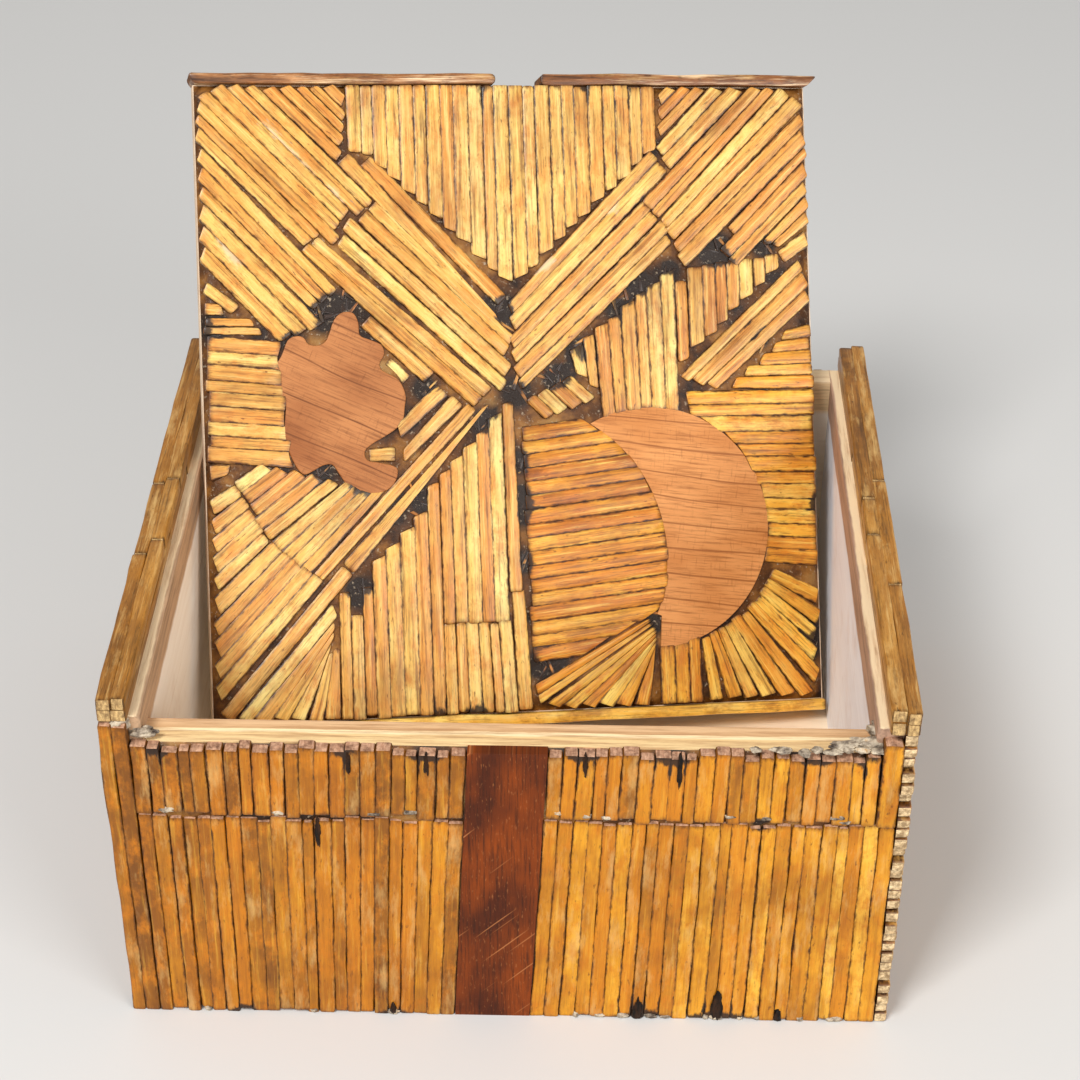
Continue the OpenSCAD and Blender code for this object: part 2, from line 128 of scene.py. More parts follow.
floor_mesh = bpy.data.meshes.new("floor")
floor_mesh.from_pydata([(-FLOOR_HALF, -FLOOR_HALF, 0), (FLOOR_HALF, -FLOOR_HALF, 0),
                        (FLOOR_HALF, FLOOR_HALF, 0), (-FLOOR_HALF, FLOOR_HALF, 0)], [], [(0, 1, 2, 3)])
floor = bpy.data.objects.new("floor", floor_mesh)
bpy.context.scene.collection.objects.link(floor)
floor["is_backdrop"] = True
floor_paint = bpy.data.materials.new("floor_paint")
floor_paint.use_nodes = True
floor_shader = floor_paint.node_tree.nodes["Principled BSDF"]
floor_shader.inputs["Base Color"].default_value = (0.66, 0.65, 0.63, 1)
floor_shader.inputs["Roughness"].default_value = 0.7
floor_mesh.materials.append(floor_paint)

# %% [markdown]
# A finish is a small chain of nodes. These helpers keep each chain short: one adds a node and
# wires what it is given, one maps a value through a colour ramp, one lays a colour over another
# through a mask, and one stretches a noise along the grain. A colour is written as it looks on a
# screen, from 0 to 255.

# %% Helpers for finishes
def screen(red, green, blue):
    """A colour as it looks on a screen, as the linear value that a shader takes."""
    return tuple(((c / 255 + 0.055) / 1.055) ** 2.4 if c > 10 else c / 3294.6 for c in (red, green, blue))


def darker(colour, share):
    """A linear colour with only a share of its light."""
    return tuple(c * share for c in colour)


def finish(name, roughness=0.5, **sockets):
    """A material, its tree and its shader, with plain values set on the shader's own sockets."""
    made = bpy.data.materials.new(name)
    made.use_nodes = True
    shader = made.node_tree.nodes["Principled BSDF"]
    shader.inputs["Roughness"].default_value = roughness
    for socket, value in sockets.items():
        shader.inputs[socket.replace("_", " ")].default_value = value
    return made, made.node_tree, shader


def wire(tree, socket, value):
    """Wires a socket to another one, or fills it in."""
    if isinstance(value, bpy.types.NodeSocket):
        tree.links.new(value, socket)
    elif isinstance(value, tuple) and len(value) == 3 and socket.type == "RGBA":
        socket.default_value = (*value, 1)
    else:
        socket.default_value = value


def add(tree, kind, inputs=None, **settings):
    """A node of a kind, with its settings and its inputs."""
    made = tree.nodes.new("ShaderNode" + kind)
    for key, value in settings.items():
        setattr(made, key, value)
    for socket, value in (inputs or {}).items():
        wire(tree, made.inputs[socket], value)
    return made


def ramp(tree, source, *stops):
    """A colour ramp of (place, colour) stops. A plain number is a grey."""
    made = add(tree, "ValToRGB", {"Fac": source})
    bar = made.color_ramp.elements
    while len(bar) < len(stops):
        bar.new(0.5)
    for element, (place, colour) in zip(bar, stops):
        element.position = place
        element.color = (*colour, 1) if isinstance(colour, tuple) else (colour, colour, colour, 1)
    return made.outputs["Color"]


def mix(tree, amount, first, second, blend="MIX"):
    """Two colours mixed by an amount."""
    made = add(tree, "Mix", {0: amount, 6: first, 7: second}, data_type="RGBA", blend_type=blend)
    return made.outputs[2]


def tinted(tree, base, colour, mask, *stops, blend="MIX"):
    """A colour laid over a base as far as a mask says, read through the stops of a ramp."""
    return mix(tree, ramp(tree, mask, *stops), base, colour, blend)


def math_step(tree, operation, first, second=0.0):
    """One arithmetic step."""
    return add(tree, "Math", {0: first, 1: second}, operation=operation).outputs[0]


def centred(tree, source, reach):
    """A noise brought to lie about zero, times a reach."""
    return math_step(tree, "MULTIPLY", math_step(tree, "SUBTRACT", source, 0.5), reach)


def between(tree, source, low, high):
    """0 below a low value, 1 above a high one, and a straight slope between them."""
    return add(tree, "MapRange", {0: source, 1: low, 2: high}).outputs[0]


def object_place(tree):
    """The place of a point in the box's own frame, in metres."""
    return add(tree, "TexCoord").outputs["Object"]


def carried(tree, name):
    """The vector that a mesh carries on its points under a name."""
    return add(tree, "Attribute", attribute_name=name).outputs["Vector"]


def split(tree, vector):
    """The three numbers of a vector."""
    return list(add(tree, "SeparateXYZ", {0: vector}).outputs)


def measured(tree, where, axes):
    """How far a place lies along each of some directions."""
    return [add(tree, "VectorMath", {0: where, 1: tuple(axis)}, operation="DOT_PRODUCT").outputs["Value"]
            for axis in axes]


def stretched(tree, vector, scale, detail=4.0, rough=0.6):
    """A noise whose scale differs along the three directions of a vector."""
    pulled = add(tree, "VectorMath", {0: vector, 1: scale}, operation="MULTIPLY").outputs[0]
    made = add(tree, "TexNoise", {"Vector": pulled, "Scale": 1.0, "Detail": detail, "Roughness": rough})
    return made.outputs["Fac"]


def bumped(tree, shader, height, depth, strength=1.0):
    """A bump of a depth in metres on the shader's normal."""
    made = add(tree, "Bump", {"Height": height, "Distance": depth, "Strength": strength})
    tree.links.new(made.outputs["Normal"], shader.inputs["Normal"])


print("helpers for finishes are ready")

# %% [markdown]
# A split matchstick has three things a viewer notices: fine grain along its length, a tone of its
# own between pale straw and brown, and dark lines along its edges and ends. Stain and glue have
# settled there. Along the edges and down the sides in the joints, the darkening is also painted
# shade. Every stick therefore carries three vectors on its points. "grain" says where a
# point is along, across and up the stick. "place" says how many millimetres away the nearest end
# is, how near the point is to either edge, and the stick's tone. "wear" says how deep the point
# sits in the joint, which sets the painted shade and grime there, how sooty it is, or how scuffed
# where that is below zero, and how warm the stick's colour is. One finish can then serve hundreds
# of sticks, whichever way they lie.

# %% The varnished stick finish
STREAKS = (55.0, 1300.0, 900.0), 5.0, 0.7
FINE_GRAIN = (240.0, 4600.0, 2600.0), 3.0, 0.7
STAINS = (110.0, 330.0, 300.0), 4.0, 0.6
SPOTS = (520.0, 1500.0, 900.0), 3.0, 0.6
RUST = (210.0, 300.0, 300.0), 5.0, 0.7
DUST = (75.0, 300.0, 300.0), 5.0, 0.7
CLOUDS = (48.0, 48.0, 48.0), 4.0, 0.6
DUST_COLOUR, SOOT_COLOUR, RUBBED_COLOUR = screen(224, 184, 116), screen(34, 22, 16), screen(236, 206, 166)


def stick_wood(tree, grain, tone, warmth, noises, tones, warm, dark, haze, grainy):
    """The clean wood of a stick: its tone, warm stains, grain lines, spots and dust."""
    streaks, fine, stains, spots = noises
    own = add(tree, "Math", {0: tone, 1: centred(tree, stains, 1.1)}, operation="ADD", use_clamp=True)
    wood = ramp(tree, own.outputs[0], *[(i / (len(tones) - 1), screen(*t)) for i, t in enumerate(tones)])
    wood = mix(tree, warmth, wood, warm)
    wood = tinted(tree, wood, warm, stretched(tree, grain, *RUST), (0.47, 0.0), (0.64, 0.75))
    clouds = stretched(tree, object_place(tree), *CLOUDS)
    wood = tinted(tree, wood, dark, clouds, (0.38, 0.3), (0.52, 0.0), blend="MULTIPLY")
    wood = tinted(tree, wood, dark, streaks, (0.33, 0.7 * grainy), (0.48, 0.0))
    wood = tinted(tree, wood, dark, fine, (0.32, 0.6 * grainy), (0.45, 0.0))
    wood = tinted(tree, wood, screen(*tones[-1]), streaks, (0.54, 0.0), (0.7, 0.7 * grainy))
    wood = tinted(tree, wood, dark, spots, (0.25, 0.8), (0.36, 0.0))
    return tinted(tree, wood, DUST_COLOUR, stretched(tree, grain, *DUST), (0.53, 0.0), (0.7, haze))


def stick_wear(tree, wood, spots, end_mm, side, sunk_shade_and_grime, soot, dark, edge_width):
    """The wood of a stick with painted shade and grime along its edges and in its joints, dirt at its ends,
    soot, and places rubbed bare.
    """
    edge = math_step(tree, "ABSOLUTE", side)
    ragged = centred(tree, spots, 0.8)
    # Painted shade: the edges and the sides down in the joint are darkened, together with the grime that
    # gathers there.
    edge_shade_and_grime = math_step(tree, "MAXIMUM", math_step(tree, "ADD", edge, ragged), sunk_shade_and_grime)
    worn = tinted(tree, wood, darker(dark, 0.4), edge_shade_and_grime,
                  (1.0 - edge_width, 0.0), (1.0 - edge_width * 0.35, 0.75), (0.98, 1.0))
    near_end = math_step(tree, "ADD", end_mm, math_step(tree, "MULTIPLY", ragged, 2.4))
    worn = tinted(tree, worn, darker(dark, 0.75), near_end, (0.0, 0.9), (0.35, 0.4), (0.9, 0.0))
    by_end = math_step(tree, "SUBTRACT", 1.0, math_step(tree, "MULTIPLY", end_mm, 0.4))
    rim = math_step(tree, "MAXIMUM", math_step(tree, "POWER", edge, 2.0), by_end)
    burnt = math_step(tree, "MULTIPLY", soot, math_step(tree, "MULTIPLY", rim, 1.3))
    burnt = math_step(tree, "ADD", burnt, ragged)
    worn = tinted(tree, worn, SOOT_COLOUR, burnt, (0.28, 0.0), (0.5, 0.93))
    scuffed = math_step(tree, "MULTIPLY", soot, -1.0)
    rubbed = math_step(tree, "SUBTRACT", scuffed, math_step(tree, "MULTIPLY", ragged, 0.9))
    return tinted(tree, worn, RUBBED_COLOUR, rubbed, (0.3, 0.0), (0.55, 0.62))


def stick_finish(name, tones, warm, shade, edge_width=0.3, coat=0.3, haze=0.25, grainy=1.0):
    """Varnished wood with a tone for each stick, grain, stains, dark edges and sooty ends."""
    made, tree, shader = finish(name, 0.4, Coat_Weight=coat, Coat_Roughness=0.28, Specular_IOR_Level=0.25)
    grain = carried(tree, "grain")
    end_mm, side, tone = split(tree, carried(tree, "place"))
    sunk_shade_and_grime, soot, warmth = split(tree, carried(tree, "wear"))
    noises = [stretched(tree, grain, *kind) for kind in (STREAKS, FINE_GRAIN, STAINS, SPOTS)]
    streaks, fine, stains, spots = noises
    dark = screen(*shade)
    wood = stick_wood(tree, grain, tone, warmth, noises, tones, screen(*warm), dark, haze, grainy)
    worn = stick_wear(tree, wood, spots, end_mm, side, sunk_shade_and_grime, soot, dark, edge_width)
    tree.links.new(worn, shader.inputs["Base Color"])
    tree.links.new(math_step(tree, "ADD", centred(tree, stains, 0.5), 0.42), shader.inputs["Roughness"])
    bumped(tree, shader, mix(tree, 0.5, streaks, fine), 0.09 * MM, 0.8)
    return made


LID_TONES = [(158, 90, 36), (202, 134, 56), (226, 166, 78), (240, 194, 100), (250, 224, 138)]
GOLDEN_TONES = [(152, 80, 18), (204, 126, 30), (232, 156, 44), (246, 184, 64), (252, 216, 106)]
FRONT_TONES = [(126, 74, 12), (160, 98, 16), (192, 124, 20), (222, 152, 30), (244, 188, 68)]
SIDE_TONES = [(136, 80, 22), (172, 108, 32), (202, 136, 44), (224, 162, 66), (242, 194, 108)]
RIM_TONES = [(104, 64, 20), (138, 88, 32), (166, 112, 46), (190, 136, 62), (218, 176, 108)]
lid_wood = stick_finish("varnished_lid_stick", LID_TONES, (220, 138, 56), (104, 54, 16))
golden_wood = stick_finish("golden_lid_stick", GOLDEN_TONES, (216, 126, 32), (98, 48, 12), haze=0.12)
front_wood = stick_finish("varnished_front_stick", FRONT_TONES, (204, 120, 12), (112, 62, 10),
                          coat=0.15, haze=0.45, grainy=0.5)
side_wood = stick_finish("darkened_side_stick", SIDE_TONES, (196, 116, 30), (92, 50, 14))
rim_wood = stick_finish("olive_rim_stick", RIM_TONES, (166, 108, 34), (72, 46, 14),
                        edge_width=0.14, coat=0.15, haze=0.6)
print("stick finishes:", [m.name for m in (lid_wood, golden_wood, front_wood, side_wood, rim_wood)])

# %% [markdown]
# Where a stick was snapped or cut across, its end shows cream wood with growth rings and dirt in
# the pores. The same finish serves the sawn foot of each stick and the ends that show as a column
# of little squares at the corner of the box.

# %% The cut end finish
def cut_end_finish(name, pale, dirty, dirt=0.5):
    """Bare end grain, with rings across it and dirt that gathers in spots."""
    made, tree, shader = finish(name, 0.8)
    grain = carried(tree, "grain")
    rings = stretched(tree, grain, (90.0, 2600.0, 700.0), 3.0, 0.6)
    dirt_spots = stretched(tree, grain, (300.0, 900.0, 900.0), 4.0, 0.7)
    base = tinted(tree, screen(*pale), screen(*dirty), rings, (0.4, 0.0), (0.62, 0.55))
    soiled = tinted(tree, base, darker(screen(*dirty), 0.4), dirt_spots,
                    (0.5 - dirt * 0.3, 0.9), (0.62, 0.0))
    tree.links.new(soiled, shader.inputs["Base Color"])
    bumped(tree, shader, rings, 0.1 * MM)
    return made


lid_end = cut_end_finish("stained_lid_end", (138, 86, 38), (76, 44, 18))
front_end = cut_end_finish("cream_front_end", (206, 160, 128), (150, 98, 66), 0.6)
side_end = cut_end_finish("cream_side_end", (244, 216, 168), (206, 164, 112), 0.3)
rim_end = cut_end_finish("dirty_rim_end", (222, 184, 122), (128, 88, 46), 0.7)
print("cut ends:", [m.name for m in (lid_end, front_end, side_end, rim_end)])

# %% [markdown]
# Each node of sticks is one mesh with many separate sticks in it. This helper takes such a mesh
# apart. Bmesh is used because it knows which points an edge joins: it walks from point to point
# until a stick is complete, and then starts on the next one.

# %% Taking a node apart into sticks
SAME_POINT = 1e-6
FLAT_ANGLE = math.radians(0.5)


def joined_to(start, seen):
    """Every point that edges join to a first one. They are marked as seen."""
    stack, group = [start], []
    seen.add(start)
    while stack:
        point = stack.pop()
        group.append(point)
        for edge in point.link_edges:
            other = edge.other_vert(point)
            if other not in seen:
                seen.add(other)
                stack.append(other)
    return group


def separate_sticks(mesh):
    """The separate closed pieces of a mesh, each as points and as faces over those points."""
    form = bmesh.new()
    form.from_mesh(mesh)
    bmesh.ops.remove_doubles(form, verts=form.verts, dist=SAME_POINT)
    bmesh.ops.dissolve_limit(form, angle_limit=FLAT_ANGLE, verts=form.verts, edges=form.edges)
    seen, found = set(), []
    for start in form.verts:
        if start in seen:
            continue
        group = joined_to(start, seen)
        number = {v: i for i, v in enumerate(group)}
        faces = [[number[v] for v in face.verts] for face in form.faces if face.verts[0] in number]
        found.append(([v.co.copy() for v in group], faces))
    form.free()
    return found


front_sticks = separate_sticks(nodes["front_long_sticks"].data)
print("the long front row has", len(front_sticks), "sticks")

# %% [markdown]
# A split stick is never a clean block. Its edges are rounded by sanding and varnish, it bows a
# little from side to side, and its top rises and falls. Each block is therefore bevelled, cut into
# short lengths, and moved by a smooth noise. Its own directions are found first: along its longest
# sides, through its thickness, and across both.

# %% Whittling one stick
STATION = 4.2 * MM
END_CLEAR = 1.5 * MM
BOW_LENGTH, RISE_LENGTH = 9 * MM, 6 * MM
BULGE_LENGTH, BULGE_WIDTH = 4 * MM, 1.5 * MM
Stick = namedtuple("Stick", "form middle along across low high foot")


def directions(points, faces, laid):
    """A stick's directions: along its longest sides, and across."""
    edges = {tuple(sorted((f[i - 1], f[i]))) for f in faces for i in range(len(f))}
    runs = [points[b] - points[a] for a, b in edges]
    runs = [r - laid * r.dot(laid) for r in runs]
    longest = max(runs, key=lambda r: r.length)
    along = Vector((0, 0, 0))
    for run in runs:
        facing = run if run.dot(longest) > 0 else -run
        if facing.length and facing.dot(longest) > 0.93 * facing.length * longest.length:
            along += facing * facing.length
    along.normalize()
    return along, laid.cross(along)


def rounded(form, edges, radius, steps):
    """Rounds some edges of a stick."""
    bmesh.ops.bevel(form, geom=edges, offset=radius, offset_type="OFFSET", segments=steps, profile=0.5,
                    affect="EDGES", clamp_overlap=True)


def cut_into_lengths(form, middle, along, low, high, dice):
    """Cuts a stick across every few millimetres, so that it can bend."""
    station = low + END_CLEAR + dice.uniform(0, 1) * MM
    while station < high - END_CLEAR:
        bmesh.ops.bisect_plane(form, geom=form.verts[:] + form.edges[:] + form.faces[:], dist=1e-7,
                               plane_co=middle + along * station, plane_no=along)
        station += STATION * dice.uniform(0.8, 1.2)


def whittle(points, faces, laid, dice, swell=1.06, longer=0.25 * MM, stagger=0.15 * MM, bow=0.12 * MM,
            rise=0.14 * MM, corner=0.65 * MM, edge=0.36 * MM):
    """Rounds, cuts and bows one stick. Gives its bmesh, and a way to measure along and across it."""
    along, across = directions(points, faces, laid)
    middle = sum(points, Vector()) / len(points)
    swell *= dice.uniform(0.95, 1.05)
    more = {side: longer + dice.uniform(-stagger, stagger) for side in (-1, 1)}
    points = [p + across * (p - middle).dot(across) * (swell - 1)
              + along * (more[1] if (p - middle).dot(along) > 0 else -more[-1]) for p in points]
    foot = min((p - middle).dot(laid) for p in points)
    head = max((p - middle).dot(laid) for p in points)
    reach = [(p - middle).dot(along) for p in points]
    low, high = min(reach), max(reach)
    form = bmesh.new()
    made = [form.verts.new(p) for p in points]
    for face in faces:
        form.faces.new([made[i] for i in face])

    upright = [e for e in form.edges
               if abs((e.verts[1].co - e.verts[0].co).normalized().dot(laid)) > 0.9]
    rounded(form, upright, corner * dice.uniform(0.5, 1.2), 3)
    upper = [e for e in form.edges
             if all((v.co - middle).dot(laid) > foot + 0.7 * (head - foot) for v in e.verts)]
    rounded(form, upper, edge * dice.uniform(0.8, 1.2), 2)
    cut_into_lengths(form, middle, along, low, high, dice)

    seed = Vector((dice.uniform(-50, 50), dice.uniform(-50, 50), dice.uniform(-50, 50)))
    lean = dice.uniform(-0.05, 0.05)
    for vert in form.verts:
        s = (vert.co - middle).dot(along)
        x = (vert.co - middle).dot(across)
        up = ((vert.co - middle).dot(laid) - foot) / (head - foot)
        wave = noise.noise(seed + Vector((s / BOW_LENGTH, 0, 0)))
        bulge = noise.noise(seed + Vector((s / BULGE_LENGTH, 7, x / BULGE_WIDTH)))
        hill = noise.noise(seed + Vector((s / RISE_LENGTH, 3, 0)))
        vert.co += across * (bow * wave + 0.5 * bow * bulge) * min(1, up + 0.4)
        vert.co += laid * up * (lean * x + rise * hill - rise * 0.6)
    return Stick(form, middle, along, across, low, high, foot)


trial = whittle(*front_sticks[0], FRONT, random.Random(5))
print("a front stick is", round((trial.high - trial.low) / MM, 1), "mm long and now has",
      len(trial.form.verts), "points")
trial.form.free()

# %% [markdown]
# A dressed node is one object with all its sticks in it. It stands in for the node and rides on
# the same body. The numbers that the finish reads are written on the points while each stick's own
# directions are still known.

# %% Dressing a node of sticks
# How far up the sides of a stick the painted shade and grime of the joint reach.
SHADE_AND_GRIME_DEPTH = 2.2 * MM
END_FACING = 0.8
SHARP_ANGLE = math.radians(42)


def soot_at(point, spots):
    """How near a point is to the closest of some spots, from 1 in the middle of one to 0 outside."""
    return max([1 - (point - centre).length / radius for centre, radius in spots] + [0.0])


def new_piece(name, points, faces, body, slot, materials, stand_in=(), smooth=True):
    """An object from points and faces, riding on a body, in place of some nodes."""
    mesh = bpy.data.meshes.new(name)
    mesh.from_pydata(points, [], faces)
    for material in materials:
        mesh.materials.append(material)
    mesh.polygons.foreach_set("use_smooth", [smooth] * len(faces))
    piece = bpy.data.objects.new(name, mesh)
    bpy.context.scene.collection.objects.link(piece)
    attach(piece, body)
    if stand_in:
        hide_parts(*stand_in)
    return piece


def unmoved(point):
    """A point as it is."""
    return point


def sides_at_ends(stick, near):
    """The least and greatest place across a stick, in its first half and in its last."""
    half = (stick.low + stick.high) / 2
    first = [p.dot(stick.across) for p in near if p.dot(stick.along) < half]
    last = [p.dot(stick.across) for p in near if p.dot(stick.along) >= half]
    return min(first), max(first), min(last), max(last)


def dressed(name, sticks, laid, body, slot, wood, end, tones, seed, stand_in=(), sooty=(), scuffed=(),
            kept=unmoved, drift=Vector((0, 0, 0)), shade_and_grime_share=1.0, **shaping):
    """All the sticks of a node, whittled, with the numbers that their finish reads."""
    dice = random.Random(seed)
    points, faces, ends = [], [], []
    grain, place, wear = [], [], []
    for corners, sides in sticks:
        stick = whittle(corners, sides, laid, dice, **shaping)
        tone = dice.uniform(*tones) + stick.middle.dot(drift)
        warmth = dice.uniform(0, 0.8) ** 2
        shift = Vector((dice.uniform(0, 3), dice.uniform(0, 3), dice.uniform(0, 3)))
        near = [v.co - stick.middle for v in stick.form.verts]
        left_first, right_first, left_last, right_last = sides_at_ends(stick, near)
        start = len(points)
        stick.form.verts.index_update()
        for vert, p in zip(stick.form.verts, near):
            s, x, h = p.dot(stick.along), p.dot(stick.across), p.dot(laid)
            t = (s - stick.low) / (stick.high - stick.low)
            left = left_first * (1 - t) + left_last * t
            right = right_first * (1 - t) + right_last * t
            side = 2 * (x - left) / max(right - left, 1e-6) - 1
            # Painted shade with grime: the deeper a point sits in the joint between sticks, the darker it is
            # painted. The same share also darkens its edges.
            sunk_shade_and_grime = max(0.0, min(1.0, 1.25 - (h - stick.foot) / SHADE_AND_GRIME_DEPTH)) * shade_and_grime_share
            points.append(kept(vert.co.copy()))
            grain += (s + shift.x, x + shift.y, h + shift.z)
            place += (min(s - stick.low, stick.high - s) / MM, side * shade_and_grime_share, tone)
            wear += (sunk_shade_and_grime, soot_at(vert.co, sooty) - soot_at(vert.co, scuffed), warmth)
        for face in stick.form.faces:
            faces.append([start + v.index for v in face.verts])
            face.normal_update()
            ends.append(1 if abs(face.normal.dot(stick.along)) > END_FACING else 0)
        stick.form.free()
    mesh = new_piece(name, points, faces, body, slot, [wood, end], stand_in).data
    for label, values in (("grain", grain), ("place", place), ("wear", wear)):
        mesh.attributes.new(label, "FLOAT_VECTOR", "POINT").data.foreach_set("vector", values)
    mesh.polygons.foreach_set("material_index", ends)
    mesh.set_sharp_from_angle(angle=SHARP_ANGLE)
    print(name, len(sticks), "sticks,", len(points), "points")


# %% [markdown]
# The front has a long row of sticks, a short row above it, and a pair of taller ones at the left
# corner. The short ones are a little darker, and every wall grows paler towards the right. Soot
# marks some ends of the front sticks and a few feet at the bottom, each mark at a place across and
# up, with a radius.

# %% Sticks on the four walls
MARKS = [(22, 2, 7), (36, 1, 8), (-20, 0, 4), (-46, 0, 4), (41, 45, 2), (-30, 46, 1.5), (-13, 58, 4),
         (-26, 58, 3), (-56, 58, 3), (12, 58, 4), (26, 57, 5), (49, 59, 4), (58, 57, 4)]
FRONT_SOOT = [(Vector((x, -5, z)) * MM, r * MM) for x, z, r in MARKS]
PALER_TO_THE_RIGHT = Vector((5.5, 0, 0))
WALLS = [("front_long_sticks", FRONT, (0.2, 0.7)), ("front_short_sticks", FRONT, (0.1, 0.5)),
         ("front_corner_sticks", FRONT, (0.3, 0.6)), ("front_end_piece", FRONT, (0.2, 0.3)),
         ("left_sticks", LEFT, (0.1, 0.85)), ("right_sticks", RIGHT, (0.2, 0.95)),
         ("back_sticks", BACK, (0.15, 0.9))]
FRONT_KIT = {"slot": "front_sticks", "wood": front_wood, "end": front_end, "sooty": FRONT_SOOT,
             "swell": 1.15, "longer": 0.2 * MM, "stagger": 0.55 * MM, "bow": 0.3 * MM, "corner": 0.5 * MM}
SIDE_KIT = {"slot": "side_sticks", "wood": side_wood, "end": side_end, "swell": 1.08, "longer": 0.0,
            "stagger": 0.7 * MM, "bow": 0.25 * MM, "corner": 0.7 * MM, "edge": 0.6 * MM}


def off_the_table(point):
    """A point kept from reaching below the foot of the box."""
    return Vector((point.x, point.y, max(point.z, 0.05 * MM)))


for number, (node, laid, tones) in enumerate(WALLS):
    dressed("dressed_" + node, separate_sticks(nodes[node].data), laid, "box", tones=tones,
            seed=11 + number, stand_in=(node,), kept=off_the_table, drift=PALER_TO_THE_RIGHT,
            **(FRONT_KIT if laid == FRONT else SIDE_KIT))

# %% [markdown]
# The lid lies at three angles at once, so its own directions are worked out from the turn, the
# lean and the roll that it was placed with. Places on its face are then given in hundredths of its
# width and height. The sooty and the scuffed places are listed so, each with a radius.

# %% The lid's own directions
LID_TURN, LID_LEAN, LID_ROLL = (math.radians(a) for a in (15, 55, -6))
lid_axes = (Matrix.Rotation(LID_TURN, 3, "Z") @ Matrix.Rotation(LID_LEAN, 3, "X")
            @ Matrix.Rotation(LID_ROLL, 3, "Z"))
lid_x, lid_y, LID_FACE = lid_axes @ ACROSS, lid_axes @ DEEP, lid_axes @ TALL
flat = [lid_axes.transposed() @ v.co for v in nodes["lid_board"].data.vertices]
lid_lo = Vector([min(p[i] for p in flat) for i in range(3)])
lid_hi = Vector([max(p[i] for p in flat) for i in range(3)])
LID_EDGE = 0.15 * MM
HUNDREDTH = 1.15 * MM


def on_lid(u, v, up=0.0):
    """The point on the lid's face at a place in hundredths, raised by up metres."""
    return lid_axes @ Vector((lid_lo.x + (lid_hi.x - lid_lo.x) * u / 100,
                              lid_lo.y + (lid_hi.y - lid_lo.y) * v / 100, lid_hi.z + up))


def kept_on_lid(point):
    """A point pushed back inside the lid's outline."""
    flat = lid_axes.transposed() @ point
    flat.x = min(max(flat.x, lid_lo.x + LID_EDGE), lid_hi.x - LID_EDGE)
    flat.y = min(max(flat.y, lid_lo.y + LID_EDGE), lid_hi.y - LID_EDGE)
    return lid_axes @ flat


SOOT = [(47.5, 64, 5), (50, 51, 4), (19.5, 64.5, 5), (24, 66, 3), (14, 60, 3), (35, 52, 3), (51, 33, 5),
        (50.5, 40, 3), (50.5, 24, 3), (54, 8, 5), (24, 20, 4), (45, 46, 4), (84, 73, 5), (76, 70, 3),
        (71, 68, 4), (67, 64, 3), (98.5, 32, 3), (98, 10, 5), (61, 57, 4), (57, 53, 4), (18, 39, 4),
        (24, 35, 4), (34, 34, 3), (2, 62, 4), (46, 98, 3), (69, 98, 3), (92, 74, 3), (63, 99, 2),
        (72, 14, 3), (90, 60, 4), (42, 1, 3), (36, 2, 3)]
LONG_SCUFF = [(5.5 + 1.5 * i, 97.5 - 1.3 * i, 1.35) for i in range(14)]
SCUFFS = LONG_SCUFF + [(4, 76, 2.2), (6, 73, 2.2), (55, 71, 1.6), (66, 80, 1.6)]
LID_SOOT = [(on_lid(u, v, 1.5 * MM), r * HUNDREDTH) for u, v, r in SOOT]
LID_SCUFFS = [(on_lid(u, v, 1.9 * MM), r * HUNDREDTH) for u, v, r in SCUFFS]
print("the lid is", [round(v / MM, 1) for v in lid_hi - lid_lo], "mm, with", len(SOOT), "sooty places")

# %% [markdown]
# The lid's fields of sticks share two finishes: straw, and a more golden one at the lower right.
# What else sets them apart is the lowest and the highest tone that each field was picked from, and
# by how many millimetres its sticks reach past their solids, to close the joints between fields.

# %% Sticks on the lid
FIELDS = {
    "lid_top_sticks": (0.5, 0.95, 0.7), "lid_upper_left_band": (0.45, 0.9, 0.8),
    "lid_upper_left_corner": (0.3, 0.75, 0.8), "lid_upper_right_band": (0.45, 0.9, 0.8),
    "lid_upper_right_corner": (0.35, 0.8, 0.8), "lid_right_uprights": (0.35, 0.9, 0.5),
    "lid_right_diagonals": (0.5, 0.8, 0.7), "lid_right_sticks": (0.5, 1.0, 0.4),
    "lid_right_fan": (0.55, 1.0, 0.4), "lid_crescent_sticks": (0.15, 0.6, 0.4),
    "lid_small_fan": (0.5, 1.0, 0.6), "lid_short_uprights": (0.4, 0.8, 0.5),
    "lid_centre_sticks": (0.4, 0.9, 0.7), "lid_bottom_uprights": (0.35, 0.9, 0.7),
    "lid_lower_left_band": (0.55, 1.0, 0.8), "lid_lower_left_inner": (0.35, 0.9, 0.6),
    "lid_lower_left_outer": (0.5, 1.0, 0.7), "lid_left_sticks": (0.3, 0.85, 0.4),
    "lid_leaf_sticks": (0.5, 1.0, 0.1),
}
GOLDEN = ("lid_right_fan", "lid_right_sticks", "lid_crescent_sticks", "lid_small_fan", "lid_short_uprights")
for number, (node, (*tones, reach)) in enumerate(FIELDS.items()):
    dressed("dressed_" + node, separate_sticks(nodes[node].data), LID_FACE, "lid", "lid_sticks",
            golden_wood if node in GOLDEN else lid_wood, lid_end, tones, 41 + number, (node,),
            sooty=LID_SOOT, scuffed=LID_SCUFFS, kept=kept_on_lid, swell=1.19, longer=reach * MM,
            stagger=0.25 * MM, edge=0.5 * MM)

# %% [markdown]
# Each side wall carries a rim of sticks on top: two rows side by side, two high, in three lengths.
# The rim is built anew from twelve whittled sticks, so that the grooves and butted ends show.

# %% The rims
RIM_ROWS, RIM_LAYERS = 2, 2
RIM_JOINT = 0.1 * MM
BLOCK_FACES = [(0, 1, 3, 2), (4, 6, 7, 5), (0, 4, 5, 1), (2, 3, 7, 6), (0, 2, 6, 4), (1, 5, 7, 3)]


def block(x0, x1, y0, y1, z0, z1):
    """The points and faces of one square stick that lies front to back."""
    return [Vector((x, y, z)) for x in (x0, x1) for y in (y0, y1) for z in (z0, z1)], BLOCK_FACES


